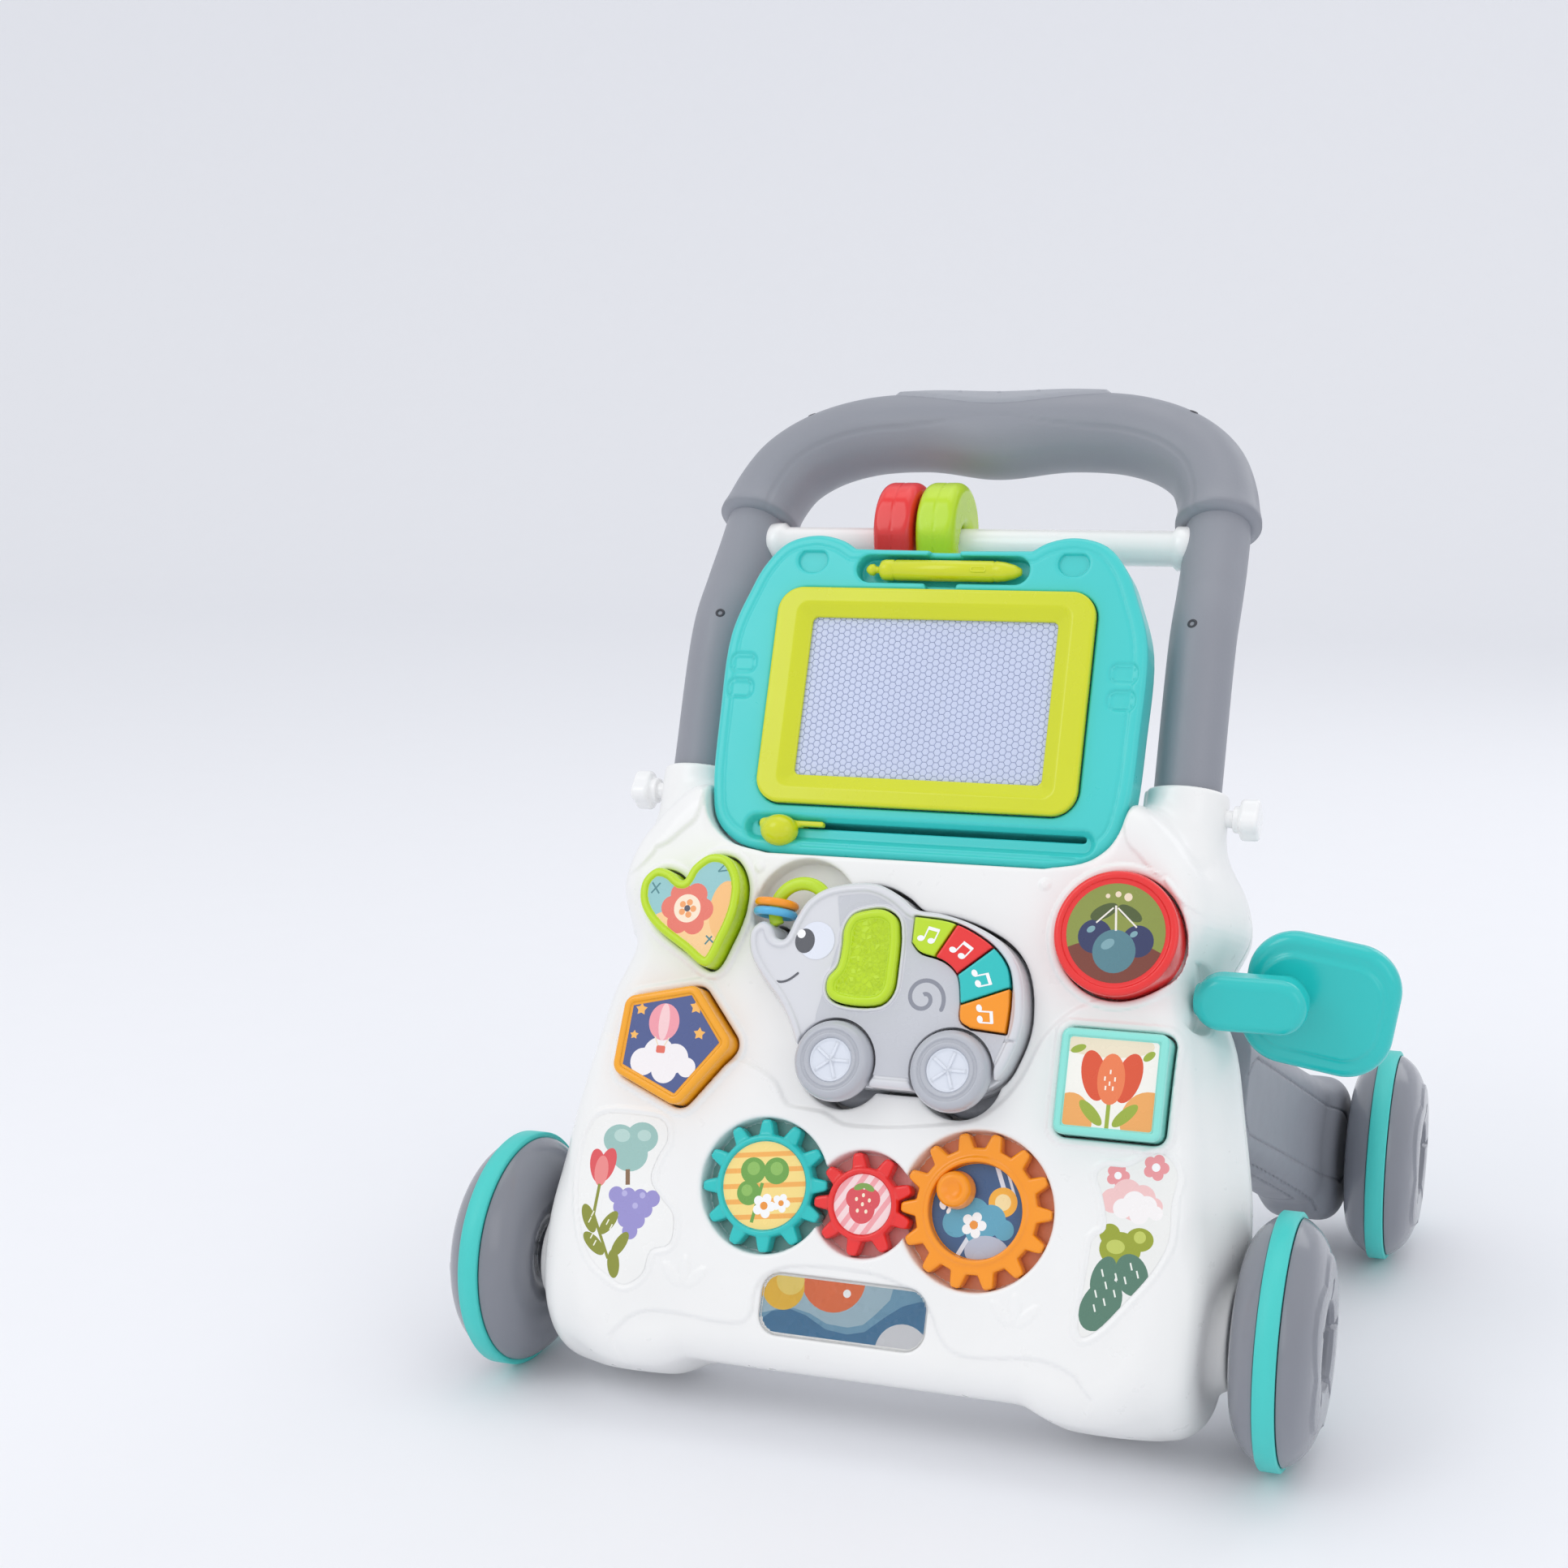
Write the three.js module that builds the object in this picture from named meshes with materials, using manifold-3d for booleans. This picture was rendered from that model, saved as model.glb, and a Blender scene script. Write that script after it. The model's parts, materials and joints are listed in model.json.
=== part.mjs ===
// A push-along baby walker: a leaning hollow body on four wheels, a U-shaped handle,
// a lift-off drawing board, four shape blocks, a gear train, a side mirror and a removable wheeled
// elephant toy with sprung keys. Millimetres, +X to the body's right as seen from its toy side,
// -Y towards the toy side, +Z up. The origin is on the floor, midway between the two axles.

import * as THREE from 'three';
import { mergeVertices } from 'three/addons/utils/BufferGeometryUtils.js';
import Module from 'manifold-3d';

const wasm = await Module();
wasm.setup();

// ---- driving dimensions ----
const GAP = 0.3;                 // clearance between touching pieces
const WALL = 3;                  // wall of the body's two shells
const WHEELBASE = 248;
const WHEEL_RADIUS = 56;
const FRONT_TRACK = 367.4;       // between the tyre bands of the front wheels
const REAR_TRACK = 402;
const AXLE_RADIUS = 3;
const BAND_HALF_WIDTH = 4.6;

const LEAN = THREE.MathUtils.degToRad(23.3);  // panel's lean back from the vertical
const PANEL_FOOT_Y = -75.5;      // where the panel's plane meets the floor
const PARTING = -52;             // depth of the joint between front and rear shell
const BACK = -77;                // depth of the body's back
const OUTLINE_CENTRE = 170;      // height up the panel that the body's outline tapers about

const TUBE_X = 119.5;            // handle tube's distance from the middle
const TUBE_DEPTH = -42;          // handle tube's depth behind the panel's face
const TUBE_RADIUS = 15.5;
const TUBE_BORE = 12.5;
const TUBE_STEPS = 10;
const GRIP_RADIUS = 18.5;
const GRIP_BORE = 16.2;
const GRIP_STEPS = 24;
const BAR_RADIUS = 8.5;
const BAR_Y = 154;
const BAR_Z = 383;

const GEAR_MODULE = 4.5;
const RED_TEETH = 9;
const TEAL_TEETH = 12;
const ORANGE_TEETH = 14;
const GEAR_DEPTH = 10;           // depth of the gear wells
const GEAR_BORE = 4.3;

const BOARD_FRONT = -8;
const BOARD_REAR = -30;
const SCREEN_CENTRE = 351;       // height of the screen's centre up the panel
const PEN_HEIGHT = 413.5;
const ERASER_HEIGHT = 286;
const ERASER_START = -63;

const TOY_FACE = 12;             // front face of the elephant, above the panel's face
const TOY_JOINT = -10;           // where its two shells meet
const TOY_BACK = -29;
const TOY_RECESS_FLOOR = -33;
const TOY_WALL = 2.2;
const TOY_ROOM = 4.5;            // between the elephant's outline and its recess
const HOOP_ROOM = 25;            // radius of the recess round the toy's hoop
const HOOP_RECESS_FLOOR = -12;
const TOY_WHEELS = [{ name: 'front', x: -16 }, { name: 'rear', x: 38 }];
const TOY_WHEEL_HEIGHT = 180;
const TOY_WHEEL_RADIUS = 18;
const HOOP = { x: -43, y: 247, w: 2, radius: 13, tube: 2.5 };
const RING_DIRECTION = THREE.MathUtils.degToRad(178);  // where the rings hang on the hoop

const BLOCK_PROUD = 9;           // how far a shape block stands out of the panel
const BLOCK_POCKET = -14;
const ABOVE = 20;                // level clear above the panel's face, where cutting tools end

// ---- helpers ----
const v2 = (x, y) => new THREE.Vector2(x, y);
const v3 = (x, y, z) => new THREE.Vector3(x, y, z);

function toSolid(geometry) {
  const bare = geometry.clone();
  bare.deleteAttribute('normal');
  bare.deleteAttribute('uv');
  const merged = mergeVertices(bare, 1e-4);
  return new wasm.Manifold(new wasm.Mesh({
    numProp: 3,
    vertProperties: Float32Array.from(merged.attributes.position.array),
    triVerts: Uint32Array.from(merged.index.array),
  }));
}

function toGeometry(solid) {
  const mesh = solid.getMesh();
  const geometry = new THREE.BufferGeometry();
  geometry.setAttribute('position', new THREE.BufferAttribute(mesh.vertProperties, 3));
  geometry.setIndex(new THREE.BufferAttribute(mesh.triVerts, 1));
  geometry.computeVertexNormals();
  return geometry;
}

function join(...geometries) {
  return toGeometry(geometries.map(toSolid).reduce((sum, next) => sum.add(next)));
}

function cut(base, ...tools) {
  return toGeometry(tools.map(toSolid).reduce((rest, tool) => rest.subtract(tool), toSolid(base)));
}

function common(a, b) {
  return toGeometry(toSolid(a).intersect(toSolid(b)));
}

// A flat shape pushed along +Z from one level to another, with optional chamfered rims.
function prism(shape, from, to, chamfer = 0, curveSegments = 2) {
  const geometry = new THREE.ExtrudeGeometry(shape, {
    depth: to - from - 2 * chamfer,
    bevelEnabled: chamfer > 0,
    bevelThickness: chamfer,
    bevelSize: chamfer,
    bevelOffset: -chamfer,
    bevelSegments: 1,
    curveSegments,
  });
  return geometry.translate(0, 0, from + chamfer);
}

function circleShape(x, y, radius) {
  return new THREE.Shape().absarc(x, y, radius, 0, 2 * Math.PI);
}

function roundedRect(x, y, width, height, radius) {
  const [l, r, b, t] = [x - width / 2, x + width / 2, y - height / 2, y + height / 2];
  const shape = new THREE.Shape();
  shape.absarc(r - radius, b + radius, radius, -Math.PI / 2, 0);
  shape.absarc(r - radius, t - radius, radius, 0, Math.PI / 2);
  shape.absarc(l + radius, t - radius, radius, Math.PI / 2, Math.PI);
  shape.absarc(l + radius, b + radius, radius, Math.PI, 1.5 * Math.PI);
  return shape;
}

function disc(x, y, radius, from, to, segments = 8) {
  return prism(circleShape(x, y, radius), from, to, 0, segments);
}

// A closed smooth outline through a few points, as evenly spaced points.
function smoothOutline(points, count) {
  const curve = new THREE.CatmullRomCurve3(points.map(([x, y]) => v3(x, y, 0)), true);
  return curve.getSpacedPoints(count).slice(0, count).map((p) => v2(p.x, p.y));
}

// An open smooth stretch through a few points.
function smoothStretch(points, count) {
  const curve = new THREE.CatmullRomCurve3(points.map(([x, y]) => v3(x, y, 0)));
  return curve.getSpacedPoints(count).map((p) => v2(p.x, p.y));
}

function anticlockwise(points) {
  return THREE.ShapeUtils.isClockWise(points) ? [...points].reverse() : points;
}

// The outline moved outwards by a distance; the points run anticlockwise.
function grow(points, distance) {
  return points.map((p, i) => {
    const before = points[(i + points.length - 1) % points.length];
    const after = points[(i + 1) % points.length];
    const along = v2(after.x - before.x, after.y - before.y).normalize();
    return v2(p.x + along.y * distance, p.y - along.x * distance);
  });
}

function bothHalves(rightHalf) {
  const left = rightHalf.filter((p) => p.x > 1e-6).map((p) => v2(-p.x, p.y)).reverse();
  return [...rightHalf, ...left];
}

// A closed skin through rings of equally many points, with flat ends.
function loft(rings) {
  const count = rings[0].points.length;
  const positions = rings.flatMap(({ points, w }) => points.flatMap((p) => [p.x, p.y, w]));
  const indices = [];
  for (let ring = 0; ring + 1 < rings.length; ring += 1) {
    for (let i = 0; i < count; i += 1) {
      const a = ring * count + i;
      const b = ring * count + ((i + 1) % count);
      indices.push(a, b, b + count, a, b + count, a + count);
    }
  }
  const last = (rings.length - 1) * count;
  for (const [a, b, c] of THREE.ShapeUtils.triangulateShape(rings[0].points, [])) {
    indices.push(c, b, a);
  }
  for (const [a, b, c] of THREE.ShapeUtils.triangulateShape(rings.at(-1).points, [])) {
    indices.push(last + a, last + b, last + c);
  }
  const geometry = new THREE.BufferGeometry();
  geometry.setAttribute('position', new THREE.Float32BufferAttribute(positions, 3));
  geometry.setIndex(indices);
  return geometry;
}

// A profile of [radius, x] points turned about the X axis.
function turned(profile, segments = 24) {
  const geometry = new THREE.LatheGeometry(profile.map(([r, x]) => v2(r, x)), segments);
  return geometry.rotateZ(-Math.PI / 2);
}

function rodAlongX(radius, from, to, segments = 12) {
  return turned([[0, from], [radius, from], [radius, to], [0, to]], segments);
}

// A shape drawn in (y, z) and pushed along X.
function sidePlate(shape, from, to, chamfer = 0, curveSegments = 7) {
  const axes = new THREE.Matrix4().makeBasis(v3(0, 1, 0), v3(0, 0, 1), v3(1, 0, 0));
  return prism(shape, from, to, chamfer, curveSegments).applyMatrix4(axes);
}

function pipe(points, radius, bore, steps, segments = 7) {
  const section = circleShape(0, 0, radius);
  if (bore > 0) {
    section.holes.push(new THREE.Path().absarc(0, 0, bore, 0, 2 * Math.PI));
  }
  const extrudePath = new THREE.CatmullRomCurve3(points);
  return new THREE.ExtrudeGeometry(section, { steps, extrudePath, curveSegments: segments });
}

// ---- the scene: world group and leaning panel group ----
const walker = new THREE.Group();
walker.position.y = -WHEELBASE / 2;
const panel = new THREE.Group();
panel.position.y = PANEL_FOOT_Y;
panel.rotation.x = Math.PI / 2 - LEAN;
panel.updateMatrix();
walker.add(panel);
const intoPanel = panel.matrix.clone().invert();

const PALETTE = {
  white: [0xf4f3f1, 0.35],
  paleGrey: [0xc9cbd1, 0.35],
  grey: [0x8f929b, 0.4],
  teal: [0x22c4c1, 0.3],
  lime: [0xc9dc1c, 0.3],
  red: [0xee2a2a, 0.3],
  orange: [0xff9a12, 0.3],
  amber: [0xf8ae1a, 0.3],
  mint: [0x8fe3da, 0.3],
  blue: [0x5db6dd, 0.3],
  screen: [0xc7cfe6, 0.5],
  clear: [0xe8f2f6, 0.1],
  circuit: [0x2f7d3a, 0.5],
  mirror: [0xdfe6ea, 0.05],
  steel: [0xb9bcc0, 0.25],
};

function add(name, geometry, finish, parent = walker) {
  const [color, roughness] = PALETTE[finish];
  const metalness = finish === 'steel' || finish === 'mirror' ? 1 : 0;
  const mesh = new THREE.Mesh(geometry, new THREE.MeshStandardMaterial({ color, roughness, metalness }));
  mesh.name = name;
  parent.add(mesh);
}

// A point of the walker's side view, given up the panel and above its face.
function sidePoint(x, up, out) {
  return v3(x, up, out).applyMatrix4(panel.matrix);
}

// ---- the body's outline ----
function bodyOutline() {
  const side = smoothStretch([[86, 40], [104, 35], [130, 36], [148, 48], [157, 68], [163, 95], [165, 120],
    [164, 139], [157, 177], [151, 205], [142, 229], [146, 239], [153, 256], [150, 283], [145, 303]], 19);
  const top = [[145, 316], [141, 320], [105, 320], [101, 316], [100, 291], [96, 288], [0, 288]];
  return bothHalves([v2(0, 40), ...side, ...top.map(([x, y]) => v2(x, y))]);
}

const OUTLINE = bodyOutline();

// The outline drawn in towards its centre, by one share sideways, one upwards and one downwards.
function bodyRing(w, wide, up, down) {
  const points = OUTLINE.map((p) => {
    const rise = p.y - OUTLINE_CENTRE;
    return v2(p.x * wide, OUTLINE_CENTRE + rise * (rise > 0 ? up : down));
  });
  return { w, points };
}

function bodyLoft(inset) {
  const k = 1 - inset / 140;
  return loft([
    bodyRing(BACK + inset, 0.91 * k, 0.95 * k, 0.93 * k),
    bodyRing(BACK + 5 + inset, 0.965 * k, 0.975 * k, 0.97 * k),
    bodyRing(PARTING, k, k, k),
    bodyRing(-14, 0.91 * k, 0.985 * k, 0.99 * k),
    bodyRing(-4 - inset / 2, 0.89 * k, 0.98 * k, 0.955 * k),
    bodyRing(-inset, 0.86 * k, 0.965 * k, 0.885 * k),
  ]);
}

// The rounded lobes around the front axle and the tapered bosses beside the wheels.
function axleLobes(inset) {
  const radius = 46 - inset;
  const lobe = (side) => turned([[0, 92], [radius - 8, 92], [radius, 102], [radius, 138],
    [radius - 6, 149 - inset], [0, 153 - inset]], 18).scale(side, 1, side)
    .translate(0, -2, 53).applyMatrix4(intoPanel);
  return [lobe(1), lobe(-1)];
}

function wheelBosses() {
  const boss = (side) => turned([[0, 140], [31, 140], [29, 150], [24, 163], [0, 163]], 18)
    .scale(side, 1, side).translate(0, 0, WHEEL_RADIUS).applyMatrix4(intoPanel);
  return [boss(1), boss(-1)];
}

// ---- handle axis: one curve that both tubes, the grip and its pad follow ----
function handleAxis() {
  const low = [sidePoint(TUBE_X, 236, TUBE_DEPTH), sidePoint(TUBE_X, 320, TUBE_DEPTH),
    sidePoint(TUBE_X, 392, TUBE_DEPTH - 1)];
  const bend = [v3(119.2, 136, 362), v3(118.6, 150, 377), v3(117.2, 165, 395)];
  const slope = THREE.MathUtils.degToRad(40);
  const arch = [[114.5, 2], [107, 18], [92, 31], [70, 39.5], [40, 42.5], [0, 41.5]].map(
    ([x, rise]) => v3(x, 173 + rise * Math.sin(slope), 404 + rise * Math.cos(slope)));
  const right = [...low, ...bend, ...arch];
  const left = right.slice(0, -1).map((p) => v3(-p.x, p.y, p.z)).reverse();
  return new THREE.CatmullRomCurve3([...right, ...left], false, 'centripetal').getSpacedPoints(320);
}

const AXIS = handleAxis();
const TUBE_END = AXIS.findIndex((p) => p.z > 402);
const GRIP_START = AXIS.findIndex((p) => p.z > 390);

function axisPart(from, to, stride) {
  return AXIS.filter((_, i) => i >= from && i <= to && (i - from) % stride === 0);
}

function tubePoints(side) {
  return axisPart(0, TUBE_END, 4).map((p) => v3(p.x * side, p.y, p.z));
}

function gripPipe(radius, bore, steps) {
  return pipe(axisPart(GRIP_START, AXIS.length - 1 - GRIP_START, 4), radius, bore, steps);
}

// ---- board outline: a rounded rectangle with two bear ears ----
const BOARD_SIDE = smoothStretch([[66, 275.5], [85, 280], [96, 290], [100, 306], [101.5, 340], [101, 380],
  [94, 402], [88, 415], [78, 426], [63, 430], [50, 427.5], [43, 423.5]], 16);
const BOARD = bothHalves([v2(0, 275.5), ...BOARD_SIDE, v2(0, 423)]);

// ---- elephant outline ----
const ELEPHANT = anticlockwise(smoothOutline([
  [-58, 240.5], [-63.5, 236], [-63, 227], [-57, 217], [-46, 205], [-40, 196], [-35, 186], [-28, 176],
  [-14, 171], [3, 170], [21, 170], [44, 170.5], [58, 178], [64, 189], [67.5, 205], [64, 226], [56, 237],
  [41, 245], [26, 249], [13, 250.5], [5, 256], [-6, 260.5], [-19, 260], [-30, 257], [-38, 251],
  [-43, 242], [-47, 233], [-51, 233.5], [-54, 238.5],
], 42));

function elephantShape(distance) {
  return new THREE.Shape(grow(ELEPHANT, distance));
}

// The recess that holds the toy; extra is the wall wanted all round it.
function elephantRecess(extra) {
  const floor = TOY_RECESS_FLOOR - extra;
  const wheelRoom = TOY_WHEEL_RADIUS + TOY_ROOM - 1.5 + extra;
  const wheels = TOY_WHEELS.map(({ x }) => disc(x, TOY_WHEEL_HEIGHT - 1, wheelRoom, floor, ABOVE));
  const hoop = disc(HOOP.x, HOOP.y, HOOP_ROOM + extra, HOOP_RECESS_FLOOR - extra, ABOVE, 10);
  return join(prism(elephantShape(TOY_ROOM + extra), floor, ABOVE), ...wheels, hoop);
}

// ---- shape blocks ----
function heartShape(d) {
  const outline = smoothOutline([
    [-84, 218], [-77, 231], [-72.5, 247], [-73.5, 260], [-80, 269], [-89, 270], [-97, 264], [-101, 257],
    [-108, 261], [-115, 262], [-121, 256], [-121, 246], [-114, 236], [-97, 225],
  ], 28);
  return new THREE.Shape(grow(anticlockwise(outline), d));
}

function pentagonShape(d) {
  const corners = [[-124, 167], [-90, 153], [-66.5, 184], [-87, 209.5], [-122, 201]]
    .map(([x, y]) => v2(x, y));
  const middle = v2(-98, 183);
  const radius = 5;
  const setBack = 1.215 * radius;
  const shape = new THREE.Shape();
  corners.forEach((corner, i) => {
    const away = corner.clone().sub(middle).normalize();
    const pulled = corner.clone().addScaledVector(away, d - setBack);
    const next = corners[(i + 1) % corners.length];
    const last = corners[(i + corners.length - 1) % corners.length];
    const turnIn = corner.clone().sub(last).angle() - Math.PI / 2;
    const turnOut = next.clone().sub(corner).angle() - Math.PI / 2;
    shape.absarc(pulled.x, pulled.y, radius, turnIn, turnOut);
  });
  return shape;
}

const BLOCKS = [
  { name: 'heart_block', finish: 'lime', shape: heartShape },
  { name: 'pentagon_block', finish: 'amber', shape: pentagonShape },
  { name: 'round_block', finish: 'red', shape: (d) => circleShape(104, 246, 27.5 + d), segments: 12 },
  {
    name: 'square_block',
    finish: 'mint',
    shape: (d) => roundedRect(108.5, 181, 47 + 2 * d, 46 + 2 * d, 4 + d),
  },
];

// ---- gear train ----
const RED_CENTRE = v2(1, 119);

function gearCentre(teeth, x, y) {
  const spacing = (RED_TEETH + teeth) / 2 * GEAR_MODULE;
  return v2(x, y).sub(RED_CENTRE).setLength(spacing).add(RED_CENTRE);
}

const TEAL_CENTRE = gearCentre(TEAL_TEETH, -46, 122.5);
const ORANGE_CENTRE = gearCentre(ORANGE_TEETH, 53, 121.5);
const wellRadius = (teeth) => teeth * GEAR_MODULE / 2 + 3.6;

// Each tooth is a blunt trapezium; phase is the direction of one tooth's middle.
function gearShape(centre, teeth, phase) {
  const pitch = 2 * Math.PI / teeth;
  const middle = teeth * GEAR_MODULE / 2;
  const tip = middle + 0.6 * GEAR_MODULE;
  const root = middle - 0.85 * GEAR_MODULE;
  const rim = [[root, -0.30], [middle, -0.195], [tip, -0.10], [tip, 0.10], [middle, 0.195], [root, 0.30]];
  const points = [];
  for (let tooth = 0; tooth < teeth; tooth += 1) {
    for (const [radius, share] of rim) {
      const angle = phase + (tooth + share) * pitch;
      points.push(v2(centre.x + radius * Math.cos(angle), centre.y + radius * Math.sin(angle)));
    }
  }
  return new THREE.Shape(points);
}

function gearPhases() {
  const toRed = RED_CENTRE.clone().sub(ORANGE_CENTRE).angle();
  const redPitch = 2 * Math.PI / RED_TEETH;
  const red = toRed + Math.PI + redPitch / 2;
  const toTeal = TEAL_CENTRE.clone().sub(RED_CENTRE).angle();
  const offset = (red - toTeal) % redPitch;
  const teal = toTeal + Math.PI - offset * RED_TEETH / TEAL_TEETH + Math.PI / TEAL_TEETH;
  return { orange: toRed, red, teal };
}

const PHASES = gearPhases();
const GEARS = [
  { name: 'gear_teal', finish: 'teal', centre: TEAL_CENTRE, teeth: TEAL_TEETH, phase: PHASES.teal },
  { name: 'gear_red', finish: 'red', centre: RED_CENTRE, teeth: RED_TEETH, phase: PHASES.red },
  { name: 'gear_orange', finish: 'orange', centre: ORANGE_CENTRE, teeth: ORANGE_TEETH, phase: PHASES.orange },
];

function makeGears() {
  for (const { name, finish, centre, teeth, phase } of GEARS) {
    const plate = prism(gearShape(centre, teeth, phase), -GEAR_DEPTH + 0.8, -0.5);
    const bore = disc(centre.x, centre.y, GEAR_BORE, -GEAR_DEPTH, -3);
    add(name, cut(plate, bore), finish, panel);
  }
  const bead = turned([[0, -0.2], [7.6, -0.2], [7.6, 2.5], [6, 5.5], [3, 7.2], [0, 7.6]], 20)
    .rotateY(-Math.PI / 2).translate(ORANGE_CENTRE.x - 9.7, ORANGE_CENTRE.y + 7.5, 0);
  add('finger_bead', bead, 'orange', panel);
}

// ---- body shells ----
const WINDOW = { x: -3, y: 71.5, width: 77, height: 27, floor: -3.5 };
const TONGUE = { x: 128, y: 186, width: 34, height: 40, reach: 14 };

function wellTool({ centre, teeth }, extra) {
  return disc(centre.x, centre.y, wellRadius(teeth) + extra, -GEAR_DEPTH - extra, ABOVE, 9);
}

// Everything sunk into the panel's face; extra is the wall wanted all round it.
function pockets(extra) {
  const { x, y, width, height, floor } = WINDOW;
  return [
    ...BLOCKS.map(({ shape, segments }) => prism(shape(1 + extra), BLOCK_POCKET - extra, ABOVE, 0, segments)),
    ...GEARS.map((gear) => wellTool(gear, extra)),
    prism(roundedRect(x, y, width + 2 * extra, height + 2 * extra, 8), floor - extra, ABOVE),
    elephantRecess(extra),
    prism(new THREE.Shape(grow(BOARD, 1.2 + extra)), BOARD_REAR - 5.5 - extra, 3 * ABOVE),
  ];
}

function legTongue(side, extra) {
  const { x, y, width, height, reach } = TONGUE;
  const shape = roundedRect(0, y, width + 2 * extra, height + 2 * extra, 5);
  return prism(shape, BACK - reach, BACK + reach).translate(side * x, 0, 0);
}

function makeBody() {
  const outer = join(bodyLoft(0), ...axleLobes(0), ...wheelBosses());
  const cavity = cut(join(bodyLoft(WALL), ...axleLobes(WALL)), ...pockets(WALL));
  const sides = [1, -1];
  const bores = [
    ...sides.map((side) => pipe(tubePoints(side), TUBE_RADIUS + 0.4, 0, TUBE_STEPS)),
    rodAlongX(AXLE_RADIUS + GAP, -200, 200).translate(0, 0, WHEEL_RADIUS),
    rodAlongX(MIRROR_PIN + 0.4, 100, 150).translate(0, MIRROR_Y, MIRROR_Z),
    ...sides.map((side) => rodAlongX(KNOB_STEM + 0.4, 120, 160).scale(side, 1, side)
      .translate(0, KNOB_POINT.y, KNOB_POINT.z)),
  ].map((bore) => bore.applyMatrix4(intoPanel));
  const tools = [...pockets(0), cavity, ...bores];
  const behind = new THREE.BoxGeometry(500, 500, 100).translate(0, 170, PARTING - 50);
  const ahead = new THREE.BoxGeometry(500, 500, 200).translate(0, 170, PARTING + 100 - GAP);
  const posts = GEARS.map(({ centre }) => disc(centre.x, centre.y, GEAR_BORE - GAP, -GEAR_DEPTH - 1, -3.4));
  add('front_shell', join(cut(outer, behind, ...tools), ...posts), 'white', panel);
  const sockets = sides.map((side) => legTongue(side, 0.5));
  add('rear_shell', cut(outer, ahead, ...tools, ...sockets), 'white', panel);
  const pane = roundedRect(WINDOW.x, WINDOW.y, WINDOW.width - 1, WINDOW.height - 1, 7.5);
  add('picture_window', prism(pane, WINDOW.floor + GAP, WINDOW.floor + GAP + 1.8), 'clear', panel);
}

// ---- shape blocks: hollow from behind ----
function makeBlocks() {
  for (const { name, finish, shape, segments } of BLOCKS) {
    const body = prism(shape(0), BLOCK_POCKET + GAP, BLOCK_PROUD, 1.2, segments);
    const hollow = prism(shape(-2.6), BLOCK_POCKET - 1, BLOCK_PROUD - 3, 0, segments);
    add(name, cut(body, hollow), finish, panel);
  }
}

// ---- elephant toy ----
const EAR = anticlockwise(smoothOutline([
  [-9, 247.5], [0, 248.5], [6, 245], [8, 238], [8.5, 224], [7.5, 212], [2.5, 206.5], [-17, 206],
  [-22, 209.5], [-22.5, 216], [-18.5, 222], [-17.5, 231], [-17.5, 239], [-14.5, 245],
], 26));

// Four keys in a fan round the toy's rump, between an inner and an outer curve.
const KEY_STEPS = 8;             // curve steps along each key
const KEY_INSET = 0.35;          // drawn in all round each key
const KEY_ROOM = 0.1;            // added round the opening that the keys share
const KEY_OUTER = smoothStretch([[14, 247], [31, 245.5], [43, 241], [53, 234.5], [59.5, 226],
  [61.5, 213], [61.5, 205], [61, 198]], 4 * KEY_STEPS);
const KEY_INNER = smoothStretch([[14, 235], [18, 231], [26, 229], [31, 227], [36.5, 222], [39, 211],
  [40, 202], [45, 199]], 4 * KEY_STEPS);

function keyShape(index) {
  const first = index * KEY_STEPS;
  const outer = KEY_OUTER.slice(first, first + KEY_STEPS + 1);
  const inner = KEY_INNER.slice(first, first + KEY_STEPS + 1).reverse();
  return new THREE.Shape(grow(anticlockwise([...outer, ...inner]), -KEY_INSET));
}

// The opening that all four keys share.
function keyField() {
  return new THREE.Shape(grow(anticlockwise([...KEY_OUTER, ...[...KEY_INNER].reverse()]), KEY_ROOM));
}

const KEYS = ['lime', 'red', 'teal', 'orange'];

const ARCH_ROOM = 1.2;           // between a toy wheel's rim and its arch
const NEAR_ARCH = 3;             // levels the arches on the two faces reach in to
const FAR_ARCH = -20;
const AXLE_BORE = 1.9;
const BATTERY_DOOR = { x: 12, y: 222, width: 50, height: 30 };

function wheelArches(room, from, to) {
  return TOY_WHEELS.map(({ x }) => disc(x, TOY_WHEEL_HEIGHT, TOY_WHEEL_RADIUS + room, from, to));
}

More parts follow.
